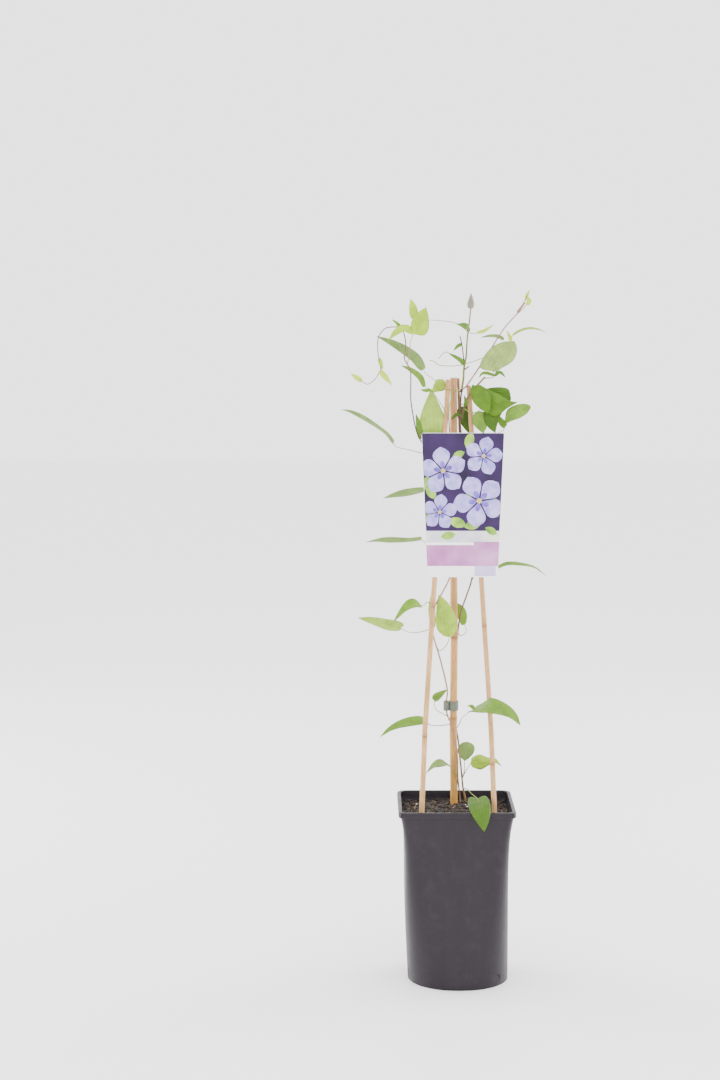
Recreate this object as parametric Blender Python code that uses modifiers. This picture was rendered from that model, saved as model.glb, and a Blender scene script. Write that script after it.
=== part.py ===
"""A young clematis trained up three bamboo canes in a deep nursery pot.

The pot stands on z = 0 with its foot centred on the origin, +Z is up and the label faces -Y.
Sizes and places are written in millimetres and turned to metres by MM.
"""
import math

import bmesh
import bpy
from mathutils import Matrix, Vector

MM = 0.001
GAP = 0.3

# Pot: square at the rim, round at the foot
POT_HEIGHT = 214.0
POT_RIM_HALF = 68.7
POT_FOOT_HALF = 59.8
POT_WALL = 1.4
POT_FLOOR = 1.8
POT_NECK_HEIGHT = 206.5
POT_TOP_CORNER = 8.0
POT_FOOT_CORNER = 56.0
POT_RIM_CORNER = 11.0
POT_BULGE = 1.15
POT_FLARE = 6.2
FLARE_POWER = 9
POT_LEAN = -3.4
LEAN_HEIGHT = 150.0
RIM_TIP = 0.033
CORNER_STEPS = 5
DRAIN_RADIUS = 4.5
DRAIN_RING = 34.0
DENT_RADIUS = 7.0
DENT_HEIGHT = 8.5
DENT_DEPTH = 0.75
DENT_AZIMUTHS = (46.0, 166.0, 286.0)

# Potting soil
SOIL_LEVEL = 203.0
SOIL_LUMP = 1.6

# Canes: places on the axis from the soil to the top, radius at the bottom and the top
CANE_BOTTOM = 118.0
CANE_LEFT = (((-44.5, -40, 211), (-41, -33.5, 307.5), (-30.5, -21, 476), (-15.5, -5, 716)), 3.2, 3.0)
CANE_RIGHT = (((40.5, -40.5, 211.5), (36.5, -33.5, 307.5), (25, -21.5, 476), (11, -5.5, 710.5)), 3.1, 2.8)
CANE_MIDDLE = (((-4, 34, 207.5), (-5.5, 29.5, 300.5), (-5, 24.5, 404.5), (-6, 21, 469.5),
                (-8, 5, 717)), 4.5, 4.1)
CANE_BORE_CLEARANCE = 0.4
CANE_NODE_SWELL = 1.07

# Clip that holds the left vine to the middle cane
CLIP_HEIGHT = 11.0
CLIP_CENTRE_Z = 324.5
CLIP_WALL = 1.2
CLIP_EYE_RADIUS = 2.4
CLIP_EYE_OFFSET = (-8.6, -2.2, 0.0)

# Plant label: a card that leans on the two front canes
LABEL_THICKNESS = 0.8
LABEL_TILT = math.radians(3.95)
LABEL_FOOT = (2.5, -24.4, 487)
LABEL_HEIGHT = 168.0
LABEL_FOOT_HALF = 40.8
LABEL_HEAD_HALF = 48.2
LABEL_CORNER = 3.0
STRAP_HEIGHT = 9.0
STRAP_UP = 86.0
STRAP_THICKNESS = 0.8
STRAP_DEPTH = 8.6
STRAP_LEFT = -33.0
STRAP_RIGHT = 27.0
STRAP_FOOT = 6.0

# Leaves and stems
BLADE = 0.75
STALK = 0.6
STEM = 0.95
PATH_STEP = 13.0
STALK_STEP = 9.0
TIP_HALF = 0.45
BROAD_LEAF = 6.6
BASE_START = 0.05
SLOPE_STEP = 0.02
RUFFLE_RATE = 9.0

# Closed bud: rings along it, sides round it
BUD_RINGS = 9
BUD_SIDES = 10
BUD_TIP_RADIUS = 0.35


def mm(point):
    """A place given in millimetres, as a vector in metres."""
    return Vector(point) * MM


def clear_scene():
    for thing in list(bpy.data.objects):
        bpy.data.objects.remove(thing, do_unlink=True)


def new_collection(name):
    collection = bpy.data.collections.new(name)
    bpy.context.scene.collection.children.link(collection)
    return collection


def material(name, colour, roughness):
    """A plain Principled finish for one sub-part."""
    finish = bpy.data.materials.new(name)
    finish.use_nodes = True
    shader = finish.node_tree.nodes["Principled BSDF"]
    shader.inputs["Base Color"].default_value = (*colour, 1.0)
    shader.inputs["Roughness"].default_value = roughness
    shader.inputs["Metallic"].default_value = 0.0
    finish.diffuse_color = (*colour, 1.0)
    return finish


def add_object(name, mesh, collection, finish=None):
    thing = bpy.data.objects.new(name, mesh)
    collection.objects.link(thing)
    if finish:
        mesh.materials.clear()
        mesh.materials.append(finish)
    return thing


def baked_mesh(thing):
    """The object's mesh with its modifiers applied."""
    graph = bpy.context.evaluated_depsgraph_get()
    graph.update()
    return bpy.data.meshes.new_from_object(thing.evaluated_get(graph))


def smooth_shading(thing, angle=40.0):
    thing.data.shade_smooth()
    thing.data.set_sharp_from_angle(angle=math.radians(angle))


def curve_point(points, place):
    """A place along a smooth Catmull-Rom curve through points; place runs from 0 to 1."""
    spans = len(points) - 1
    span = min(int(place * spans), spans - 1)
    t = place * spans - span
    before = points[span - 1] if span else points[0] * 2 - points[1]
    start, end = points[span], points[span + 1]
    after = points[span + 2] if span + 2 <= spans else points[-1] * 2 - points[-2]
    return 0.5 * (2 * start + (end - before) * t
                  + (2 * before - 5 * start + 4 * end - after) * t * t
                  + (3 * start - before - 3 * end + after) * t ** 3)


def path_length(points):
    return sum((b - a).length for a, b in zip(points, points[1:]))


def smooth_path(points, step=PATH_STEP):
    """Points every step or so along the smooth curve through the given ones."""
    count = max(len(points) - 1, round(path_length(points) / step), 2)
    return [curve_point(points, i / count) for i in range(count + 1)]


def tube_mesh(name, points, radius, end_radius=None, sides=1):
    """A closed round stem through points in millimetres, tapering to end_radius."""
    end_radius = radius if end_radius is None else end_radius
    curve = bpy.data.curves.new(name, "CURVE")
    curve.dimensions = "3D"
    curve.bevel_depth = MM
    curve.bevel_resolution = sides
    curve.use_fill_caps = True
    spline = curve.splines.new("POLY")
    spline.points.add(len(points) - 1)
    for i, (knot, place) in enumerate(zip(spline.points, points)):
        share = i / (len(points) - 1)
        knot.co = (*mm(place), 1.0)
        knot.radius = radius + (end_radius - radius) * share
    holder = bpy.data.objects.new(name, curve)
    bpy.context.scene.collection.objects.link(holder)
    mesh = baked_mesh(holder)
    bpy.data.objects.remove(holder, do_unlink=True)
    bpy.data.curves.remove(curve)
    weld(mesh)
    return mesh


def weld(mesh, distance=0.01):
    """Closes a curve's loose caps and turns all faces outwards."""
    shape = bmesh.new()
    shape.from_mesh(mesh)
    bmesh.ops.remove_doubles(shape, verts=shape.verts, dist=distance * MM)
    bmesh.ops.recalc_face_normals(shape, faces=shape.faces)
    shape.to_mesh(mesh)
    shape.free()


def stem(points, radius=STEM, end_radius=None, step=PATH_STEP, sides=1):
    """One stem as a mesh, smooth through the given places."""
    return tube_mesh("stem", smooth_path([Vector(p) for p in points], step), radius, end_radius, sides)


def sprig(stalk, midrib, half_width, radius=STALK, **blade):
    """A leaf on its stalk: the stalk runs on into the blade along its midrib."""
    ribs = [Vector(p) for p in midrib]
    points = [Vector(p) for p in stalk] + [ribs[0], curve_point(ribs, 0.1), curve_point(ribs, 0.2)]
    return [stem(points, radius, radius * 0.85, STALK_STEP, 0), leaf(midrib, half_width, **blade)]


def blade_width(place, peak=0.32):
    """Half the blade's width along its midrib, from 0 at the stalk to 1 at the tip, at most 1."""
    reach = BASE_START + (1.0 - BASE_START) * place
    power = peak / (1.0 - peak)
    highest = peak ** power * (1.0 - peak)
    return reach ** power * (1.0 - reach) / highest


def leaf(points, half_width, face=(0, -1, 0.2), lobe=0.12, fold=0.18, wave=0.06,
         rows=5, columns=None, peak=0.32):
    """One leaf blade as a mesh.

    points run along the midrib from stalk to tip, face is where the upper side looks, lobe sets
    how far the two base lobes reach back past the stalk, fold lifts the edges and wave ruffles them.
    """
    spine = [Vector(p) for p in points]
    length = path_length(spine)
    columns = columns or (4 if half_width > BROAD_LEAF else 2)
    shape = bmesh.new()
    bmesh.ops.create_grid(shape, x_segments=rows, y_segments=columns, size=1.0)
    for vertex in shape.verts:
        place = (vertex.co.x + 1.0) / 2.0
        across = vertex.co.y
        width = half_width * blade_width(place, peak) + TIP_HALF * place
        back = lobe * abs(across) * (1.0 - place) ** 3
        reach = place - back
        centre = curve_point(spine, min(max(reach, 0.0), 1.0))
        behind = min(max(reach, 0.0), 1.0 - SLOPE_STEP)
        along = curve_point(spine, behind + SLOPE_STEP) - curve_point(spine, behind)
        along.normalize()
        if reach < 0.0:
            centre = centre + along * reach * length
        side = Vector(face).cross(along).normalized()
        upper = along.cross(side).normalized()
        ruffle = wave * math.sin(RUFFLE_RATE * place + half_width) * across ** 2
        lift = fold * abs(across) + ruffle * (1 if across > 0 else -1)
        vertex.co = (centre + side * across * width + upper * lift * width) * MM
    bmesh.ops.triangulate(shape, faces=shape.faces)
    sheet = bpy.data.meshes.new("leaf")
    shape.to_mesh(sheet)
    shape.free()
    holder = add_object("leaf", sheet, bpy.context.scene.collection)
    skin = holder.modifiers.new("blade", "SOLIDIFY")
    skin.thickness = BLADE * MM
    skin.offset = 0.0
    solid = baked_mesh(holder)
    bpy.data.objects.remove(holder, do_unlink=True)
    weld(solid, 0.001)
    return solid


def fuse(name, meshes, collection, finish):
    """Joins stems and leaves into one body with one Boolean union on a collection.

    The exact solver leaves edges shared by three faces where thin blades cross, so this is MANIFOLD.
    """
    first, rest = meshes[0], meshes[1:]
    body = add_object(name, first, collection, finish)
    if rest:
        others = new_collection(name + " pieces")
        for i, mesh in enumerate(rest):
            add_object(f"{name} piece {i}", mesh, others)
        union = body.modifiers.new("union", "BOOLEAN")
        union.operation = "UNION"
        union.operand_type = "COLLECTION"
        union.collection = others
        union.solver = "MANIFOLD"
        joined = baked_mesh(body)
        body.modifiers.remove(union)
        body.data = joined
        for thing in list(others.objects):
            bpy.data.objects.remove(thing, do_unlink=True)
        bpy.data.collections.remove(others)
        joined.materials.clear()
        joined.materials.append(finish)
    smooth_shading(body)
    return body


def cut(body, cutters):
    """Takes each cutter out of body with a live Boolean."""
    for cutter in cutters:
        hole = body.modifiers.new("cut " + cutter.name, "BOOLEAN")
        hole.operation = "DIFFERENCE"
        hole.solver = "EXACT"
        hole.object = cutter


def add_cutter(name, mesh, collection):
    cutter = add_object(name, mesh, collection)
    cutter.hide_render = True
    cutter.display_type = "WIRE"
    return cutter


def lean_at(height):
    """How far the pot leans sideways at a height; it is straight above LEAN_HEIGHT."""
    return POT_LEAN * math.sin(math.pi / 2.0 * min(height / LEAN_HEIGHT, 1.0))


def tip_at(y, height):
    """How far a point of the pot sinks or lifts, as the rim tips back a little."""
    return -RIM_TIP * y * (height / POT_HEIGHT) ** 2


def rounded_square(half, corner, height):
    """One outline of the pot: a square with round corners, which is a circle when corner nears half."""
    corner = min(corner, half - 0.4)
    ring = []
    for quarter in range(4):
        turn = Matrix.Rotation(math.radians(90.0 * quarter), 2)
        for step in range(CORNER_STEPS + 1):
            angle = math.radians(90.0 * step / CORNER_STEPS)
            flat = Vector((half - corner + corner * math.cos(angle),
                           half - corner + corner * math.sin(angle)))
            flat = turn @ flat
            ring.append((flat.x + lean_at(height), flat.y, height + tip_at(flat.y, height)))
    return ring


def loft(rings):
    """A closed body through level outlines of equal count, with flat ends."""
    shape = bmesh.new()
    levels = [[shape.verts.new(mm(p)) for p in ring] for ring in rings]
    count = len(levels[0])
    for lower, upper in zip(levels, levels[1:]):
        for i in range(count):
            j = (i + 1) % count
            shape.faces.new((lower[i], lower[j], upper[j], upper[i]))
    shape.faces.new(list(reversed(levels[0])))
    shape.faces.new(levels[-1])
    bmesh.ops.recalc_face_normals(shape, faces=shape.faces)
    mesh = bpy.data.meshes.new("loft")
    shape.to_mesh(mesh)
    shape.free()
    return mesh


def pot_half(height):
    """Half the pot's outer width at a height under the rim."""
    share = height / POT_NECK_HEIGHT
    return POT_FOOT_HALF + POT_BULGE * math.sin(math.pi * share) + POT_FLARE * share ** FLARE_POWER


def pot_corner(height):
    """The corner radius at a height: small at the rim, a full circle at the foot."""
    share = 1.0 - min(height / POT_NECK_HEIGHT, 1.0)
    return POT_TOP_CORNER + (POT_FOOT_CORNER - POT_TOP_CORNER) * share ** 1.3


WALL_HEIGHTS = (8.0, 45.0, 90.0, 130.0, 160.0, 180.0, 193.0, POT_NECK_HEIGHT)


def wall_ring(height, inset):
    return rounded_square(pot_half(height) - inset, pot_corner(height) - inset, height)


def wall_reach(angle, height):
    """How far the round part of the wall stands from the pot's middle in a direction."""
    corner = pot_corner(height)
    centre = pot_half(height) - corner
    along = centre * (abs(math.sin(angle)) + abs(math.cos(angle)))
    return along + math.sqrt(along ** 2 - 2.0 * centre ** 2 + corner ** 2)


def pot(collection, cutters):
    """The moulded pot: outer wall, folded rim, inner wall and floor as one skin."""
    neck = pot_half(POT_NECK_HEIGHT)
    outside = [rounded_square(POT_FOOT_HALF - 0.8, POT_FOOT_CORNER, 0.0),
               rounded_square(POT_FOOT_HALF, POT_FOOT_CORNER, 1.0)]
    outside += [wall_ring(height, 0.0) for height in WALL_HEIGHTS]
    rim = [rounded_square(POT_RIM_HALF - 1.4, POT_RIM_CORNER, POT_NECK_HEIGHT + 0.1),
           rounded_square(POT_RIM_HALF, POT_RIM_CORNER, POT_NECK_HEIGHT + 1.3),
           rounded_square(POT_RIM_HALF, POT_RIM_CORNER, POT_HEIGHT - 1.6),
           rounded_square(POT_RIM_HALF - 1.5, POT_RIM_CORNER, POT_HEIGHT),
           rounded_square(neck - 1.2, POT_TOP_CORNER, POT_HEIGHT),
           rounded_square(neck - 1.8, POT_TOP_CORNER, POT_HEIGHT - 1.2)]
    inside = [wall_ring(height, POT_WALL) for height in reversed(WALL_HEIGHTS)]
    floor = [wall_ring(POT_FLOOR, POT_WALL + 0.6)]
    body = add_object("pot", loft(outside + rim + inside + floor), collection,
                      material("pot_plastic", (0.07, 0.066, 0.072), 0.5))
    holes = []
    for quarter in range(4):
        angle = math.radians(90.0 * quarter + 45.0)
        foot = (DRAIN_RING * math.cos(angle), DRAIN_RING * math.sin(angle))
        hole = tube_mesh("drain", [(*foot, -5.0), (*foot, POT_FLOOR + 4.0)], DRAIN_RADIUS, sides=4)
        holes.append(add_cutter(f"drain cutter {quarter}", hole, cutters))
    for azimuth in DENT_AZIMUTHS:
        angle = math.radians(azimuth)
        out = Vector((math.sin(angle), -math.cos(angle), 0.0))
        skin = Vector((lean_at(DENT_HEIGHT), 0, DENT_HEIGHT)) + out * wall_reach(angle, DENT_HEIGHT)
        dent = tube_mesh("dent", [skin - out * DENT_DEPTH, skin + out * DENT_RADIUS], DENT_RADIUS, sides=4)
        holes.append(add_cutter(f"dent cutter {azimuth:.0f}", dent, cutters))
    cut(body, holes)
    smooth_shading(body, 30.0)
    return body


def soil_height(x, y):
    """The lumpy top of the soil, from a few long and short ripples."""
    ripples = (math.sin(0.11 * x + 0.7) * math.cos(0.09 * y - 0.4)
               + 0.6 * math.sin(0.23 * x - 0.19 * y + 1.1)
               + 0.4 * math.cos(0.31 * y + 0.27 * x))
    return SOIL_LEVEL + SOIL_LUMP * ripples / 2.0


def soil(collection, cutters):
    """The peat root ball that fills the pot, with plain holes for canes and stems."""
    inset = POT_WALL + GAP
    rings = [wall_ring(POT_FLOOR + GAP, inset + 0.6)]
    rings += [wall_ring(height, inset) for height in WALL_HEIGHTS[:-2]]
    edge = wall_ring(SOIL_LEVEL - 4.0, inset)
    for share in (1.0, 0.86, 0.76, 0.46, 0.26, 0.1):
        ring = []
        for x, y, _ in edge:
            x, y = x * share, y * share
            ring.append((x, y, soil_height(x, y) + tip_at(y, SOIL_LEVEL) - 1.5 * share ** 8))
        rings.append(ring)
    body = add_object("soil", loft(rings), collection, material("peat", (0.028, 0.016, 0.009), 0.95))
    bores = []
    for name, cane in (("left", CANE_LEFT), ("right", CANE_RIGHT), ("middle", CANE_MIDDLE)):
        low = cane_point(cane, CANE_BOTTOM - GAP)
        high = cane_point(cane, SOIL_LEVEL + 25.0)
        radius = cane[1] * CANE_NODE_SWELL + CANE_BORE_CLEARANCE
        bore = tube_mesh("bore", [low, high], radius, sides=2)
        bores.append(add_cutter(name + " cane bore", bore, cutters))
    for name, (x, y, _) in (("left vine", LEFT_FOOT), ("right vine", RIGHT_FOOT)):
        ends = [(x, y, ROOT_DEPTH - GAP), (x, y, BORE_TOP)]
        bore = tube_mesh("bore", ends, STEM_BORE, STEM_BORE * 2.2)
        bores.append(add_cutter(name + " bore", bore, cutters))
    cut(body, bores)
    smooth_shading(body)
    return body


def cane_point(cane, height):
    """The point on a cane's axis at a height; the cane bends a little at each of its places."""
    places = [Vector(p) for p in cane[0]]
    span = sum(height > place.z for place in places[1:-1])
    low, high = places[span], places[span + 1]
    return low + (high - low) * ((height - low.z) / (high.z - low.z))


def cane(name, spec, joints, colour, collection, slant=0.0):
    """A bamboo cane: a tapering rod that swells a little at each joint."""
    places, thick, thin = spec
    top = places[-1]
    curve = bpy.data.curves.new(name, "CURVE")
    curve.dimensions = "3D"
    curve.bevel_depth = MM
    curve.bevel_resolution = 3
    curve.use_fill_caps = True
    heights = {CANE_BOTTOM: 1.0}
    heights.update({place[2]: 1.0 for place in places[1:]})
    for height in joints:
        heights[height - 3.5] = 1.0
        heights[height - 0.8] = CANE_NODE_SWELL
        heights[height + 0.8] = CANE_NODE_SWELL
        heights[height + 3.5] = 0.98
    levels = sorted(heights)
    spline = curve.splines.new("POLY")
    spline.points.add(len(levels) - 1)
    for knot, height in zip(spline.points, levels):
        share = (height - CANE_BOTTOM) / (top[2] - CANE_BOTTOM)
        knot.co = (*mm(cane_point(spec, height)), 1.0)
        knot.radius = (thick + (thin - thick) * share) * heights[height]
    holder = bpy.data.objects.new(name, curve)
    bpy.context.scene.collection.objects.link(holder)
    mesh = baked_mesh(holder)
    bpy.data.objects.remove(holder, do_unlink=True)
    bpy.data.curves.remove(curve)
    weld(mesh)
    if slant:
        for vertex in mesh.vertices:
            if vertex.co.z > (top[2] - 2.0) * MM:
                vertex.co.z -= slant * max(vertex.co.x - (top[0] - thin) * MM, 0.0)
    body = add_object(name, mesh, collection, material(name + "_bamboo", colour, 0.55))
    smooth_shading(body)
    return body


def clip(collection):
    """The plastic plant clip: a band round the middle cane with a side eye for the stem."""
    low = cane_point(CANE_MIDDLE, CLIP_CENTRE_Z - CLIP_HEIGHT / 2.0)
    high = cane_point(CANE_MIDDLE, CLIP_CENTRE_Z + CLIP_HEIGHT / 2.0)
    along = (high - low).normalized()
    inner = CANE_MIDDLE[1] + GAP
    eye = Vector(CLIP_EYE_OFFSET)
    band = tube_mesh("band", [low, high], inner + CLIP_WALL, sides=6)
    side = tube_mesh("eye", [low + eye, high + eye], CLIP_EYE_RADIUS + CLIP_WALL, sides=5)
    bore = tube_mesh("bore", [low - along * 5, high + along * 5], inner, sides=6)
    hole = tube_mesh("hole", [low + eye - along * 5, high + eye + along * 5], CLIP_EYE_RADIUS, sides=5)
    body = fuse("clip", [band, side], collection, material("clip_plastic", (0.2, 0.21, 0.13), 0.45))
    return body, [bore, hole]


def label_frame():
    """The card's own frame: x right, y up the card, z out of its printed face."""
    up = Vector((0, math.sin(LABEL_TILT), math.cos(LABEL_TILT)))
    out = Vector((0, -math.cos(LABEL_TILT), math.sin(LABEL_TILT)))
    turn = Matrix((Vector((1, 0, 0)), up, out)).transposed().to_4x4()
    return Matrix.Translation(mm(LABEL_FOOT)) @ turn


def flat_outline(name, points, thickness):
    """A flat piece: a filled 2D curve given half its thickness both ways, as a mesh."""
    curve = bpy.data.curves.new(name, "CURVE")
    curve.dimensions = "2D"
    curve.fill_mode = "BOTH"
    curve.extrude = thickness / 2.0 * MM
    spline = curve.splines.new("POLY")
    spline.points.add(len(points) - 1)
    for knot, (x, y) in zip(spline.points, points):
        knot.co = (x * MM, y * MM, 0.0, 1.0)
    spline.use_cyclic_u = True
    holder = bpy.data.objects.new(name, curve)
    bpy.context.scene.collection.objects.link(holder)
    mesh = baked_mesh(holder)
    bpy.data.objects.remove(holder, do_unlink=True)
    bpy.data.curves.remove(curve)
    weld(mesh)
    return mesh


def round_corner(corner, before, after, radius=LABEL_CORNER, steps=4):
    """Points that round one corner of an outline."""
    corner, before, after = Vector(corner), Vector(before), Vector(after)
    start = corner + (before - corner).normalized() * radius
    end = corner + (after - corner).normalized() * radius
    points = []
    for step in range(steps + 1):
        t = step / steps
        point = start * (1 - t) ** 2 + corner * 2 * t * (1 - t) + end * t ** 2
        points.append(point[:])
    return points


def label(collection):
    """The printed card, wider at its head, with a strap behind the two front canes."""
    corners = [(-LABEL_FOOT_HALF, 0), (LABEL_FOOT_HALF, 0),
               (LABEL_HEAD_HALF, LABEL_HEIGHT), (-LABEL_HEAD_HALF, LABEL_HEIGHT)]
    outline = []
    for i, corner in enumerate(corners):
        outline += round_corner(corner, corners[i - 1], corners[(i + 1) % 4])
    card = flat_outline("label", outline, LABEL_THICKNESS)
    card.transform(label_frame())
    body = add_object("label", card, collection, material("label_card", (0.2, 0.1, 0.35), 0.35))
    smooth_shading(body, 30.0)
    return body


def label_strap(collection):
    """A clear strip folded round the back of the two front canes, its ends on the card."""
    back = -(LABEL_THICKNESS / 2.0 + GAP)
    deep = back - STRAP_DEPTH
    t = STRAP_THICKNESS
    left, right = STRAP_LEFT - STRAP_FOOT, STRAP_RIGHT + STRAP_FOOT
    points = [(left, back), (STRAP_LEFT + t, back), (STRAP_LEFT + t, deep + t),
              (STRAP_RIGHT - t, deep + t), (STRAP_RIGHT - t, back), (right, back),
              (right, back - t), (STRAP_RIGHT, back - t), (STRAP_RIGHT, deep),
              (STRAP_LEFT, deep), (STRAP_LEFT, back - t), (left, back - t)]
    band = flat_outline("strap", points, STRAP_HEIGHT)
    stand = Matrix.Rotation(math.radians(90.0), 4, "X")
    band.transform(label_frame() @ Matrix.Translation(mm((0, STRAP_UP, 0))) @ stand)
    body = add_object("label_strap", band, collection, material("strap_film", (0.7, 0.7, 0.72), 0.3))
    return body


# Where the two vines stand in the soil
STEM_BORE = 1.5
ROOT_DEPTH = 150.0
LEFT_FOOT = (4, 42, 204)
RIGHT_FOOT = (10.5, 45, 204.5)
BORE_TOP = 212.0

# Joints of the vines, where leaf stalks and side shoots start
CROWN = (1, -2, 703.5)
CROWN_RADIUS = 1.7
LEFT_HEAD = (-14, -12.5, 673)


def eye_point(height):
    """The middle of the clip's side eye at a height."""
    return cane_point(CANE_MIDDLE, height) + Vector(CLIP_EYE_OFFSET)


def vine_left(collection, finish):
    """The left vine: up the middle cane, through the clip, round the left cane, behind the label."""
    x, y, _ = LEFT_FOOT
    pieces = [stem([(x, y, ROOT_DEPTH), (x, y, 180), (x, y, 203), (2, 36, 220.5), (0, 26, 240),
                    (-0.5, 23.5, 261.5), (-3.5, 20.5, 284), (-8, 20, 302.5), (-12.5, 22.5, 312.5),
                    eye_point(320), eye_point(330), (-13.5, 22, 347), (-23, -4, 388), (-29.5, -19, 410.5),
                    (-32.5, -18, 427), (-30, -15, 449), (-22, -10, 464), (-13, -6, 481),
                    (-7, -2, 504), (-8, -1, 551), (-12.5, -1, 598), (-13, -3, 633.5),
                    (-13, -6, 655), LEFT_HEAD], 1.05, 0.8)]
    # Narrow wavy leaf low on the left
    pieces += sprig([(1.5, 32, 229), (-1.5, 24, 241), (-6, 22.5, 249)],
                    [(-9.5, 19, 252), (-18, 14, 257), (-29, 10, 254.5), (-38.5, 6, 246.5)], 6.5,
                    face=(-0.2, -0.45, 0.85), lobe=0.06, wave=0.25)
    # Long arching leaf behind the left cane
    pieces += sprig([(-8.5, 20, 303.5), (-22, 6, 304.5), (-33.5, -10, 308.5)],
                    [(-38, -17, 312), (-46.5, -22, 317), (-64.5, -27, 316), (-80.5, -32, 309.5),
                     (-93.5, -35, 299.5)], 8.0, face=(-0.1, -0.65, 0.75), lobe=0.08, wave=0.1)
    # Small folded leaf between the left and middle canes
    pieces += sprig([(-13, 22.5, 312.5), (-19.5, 10, 318.5), (-26, 0, 324), (-29, -6, 330.5)],
                    [(-29.5, -9, 338), (-23, -8, 343.5), (-14.5, -6, 350)], 5.0,
                    face=(-0.35, -0.75, 0.45), lobe=0.1, fold=0.5)
    # Big bright leaf between the canes
    pieces += sprig([(-27, -14.5, 403), (-23, -8, 397), (-15, 2, 402), (-12, 5, 409)],
                    [(-13, 2, 415.5), (-15.5, -5, 431), (-19.5, -10, 448.5), (-25, -12, 464.5)], 12.0,
                    face=(-0.1, -1, 0.1), lobe=0.2, rows=7)
    # Narrow leaf that shows behind the left cane's edge
    pieces += sprig([(-32.5, -18.5, 424), (-31, -16, 421)],
                    [(-31.5, -13.5, 424), (-34.5, -12.5, 450), (-33.5, -12, 474.5)], 4.5,
                    face=(-0.2, -1, 0), lobe=0.05)
    # Two leaves out to the left at half height
    pieces += sprig([(-30.5, -15.5, 445.5), (-34.5, -16, 454), (-39, -25, 457.5), (-42.5, -33, 455)],
                    [(-47, -40, 457.5), (-55.5, -46, 462), (-66, -52, 455.5), (-78, -56, 440)],
                    6.5, face=(-0.25, -0.65, 0.7), lobe=0.1, wave=0.12)
    pieces += sprig([(-32.5, -18, 426), (-37, -18.5, 424), (-47, -18, 421), (-60.5, -12, 420)],
                    [(-69.5, -6, 424), (-84, 2, 425.5), (-101.5, 8, 429.5), (-119.5, 12, 433)], 9.0,
                    face=(0.05, -0.6, 0.8), lobe=0.12)
    # Leaves beside the label, on stalks that start behind it
    pieces += sprig([(-10.5, -1, 574.5), (-23.5, -1, 581), (-35.5, -4, 586)],
                    [(-42.5, -8, 587.5), (-60, -16, 585), (-76.5, -23, 582.5), (-90.5, -30, 580)], 6.5,
                    face=(-0.1, -0.55, 0.8), lobe=0.1)
    pieces += sprig([(-7, -2, 507.5), (-23, 0, 516), (-35, -1, 521.5), (-42, 1, 525.5)],
                    [(-46, 3, 528), (-60.5, 9, 525.5), (-79.5, 14, 525), (-96, 18, 524.5),
                     (-111, 22, 521.5)], 5.5, face=(0, -0.5, 0.85), lobe=0.08, wave=0.15)
    pieces += sprig([(-13, -2, 623), (-28.5, 2, 625), (-45.5, -3, 630), (-60, -10, 634.5),
                     (-74.5, -16, 638.5)],
                    [(-79.5, -20, 645), (-87, -24, 654.5), (-99.5, -30, 664.5), (-114.5, -36, 674.5),
                     (-128.5, -40, 681.5), (-139, -42, 684)], 6.0, face=(0.35, -0.55, 0.75), lobe=0.1,
                    wave=0.15, rows=7)
    # Big pale leaf beside the head of the left cane
    pieces += sprig([(-13, -4.5, 642), (-19, -4, 642.5), (-26, -3.5, 644)],
                    [(-32.5, -4.5, 649), (-34, -9, 667), (-34.5, -12, 687), (-34.5, -12, 705)], 11.4,
                    face=(-0.15, -1, 0.2), lobe=0.06, rows=6)
    # Pointed leaf above it and the scrap of a leaf on the same stalk
    pieces += sprig([LEFT_HEAD, (-19, -15, 681), (-25.5, -16.5, 692), (-31, -16.5, 699.5),
                     (-35.5, -16, 705.5)],
                    [(-42.5, -14.5, 708.5), (-47.5, -17, 719.5), (-59, -19, 728.5), (-69.5, -20, 733)],
                    3.5, face=(-0.4, -0.8, 0.4), lobe=0.05)
    pieces += [leaf([(-35, -16.5, 704.5), (-42, -18.5, 704), (-47, -20, 705.5)], 2.2,
                    face=(0, -0.8, 0.5), lobe=0.02, rows=4)]
    # Stalk between the canes to the leaf that curls over the left cane's head
    pieces += sprig([LEFT_HEAD, (-13, -11.5, 687), (-10.5, -7.5, 697), (-10.5, -2, 702.5),
                     (-13, 2.5, 704)],
                    [(-16.5, 3, 704.5), (-21.5, 2.5, 712), (-28, -1, 711.5), (-34, -4, 703)],
                    6.2, face=(-0.25, -0.7, 0.65), lobe=0.1)
    return fuse("vine_left", pieces, collection, finish)


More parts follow.
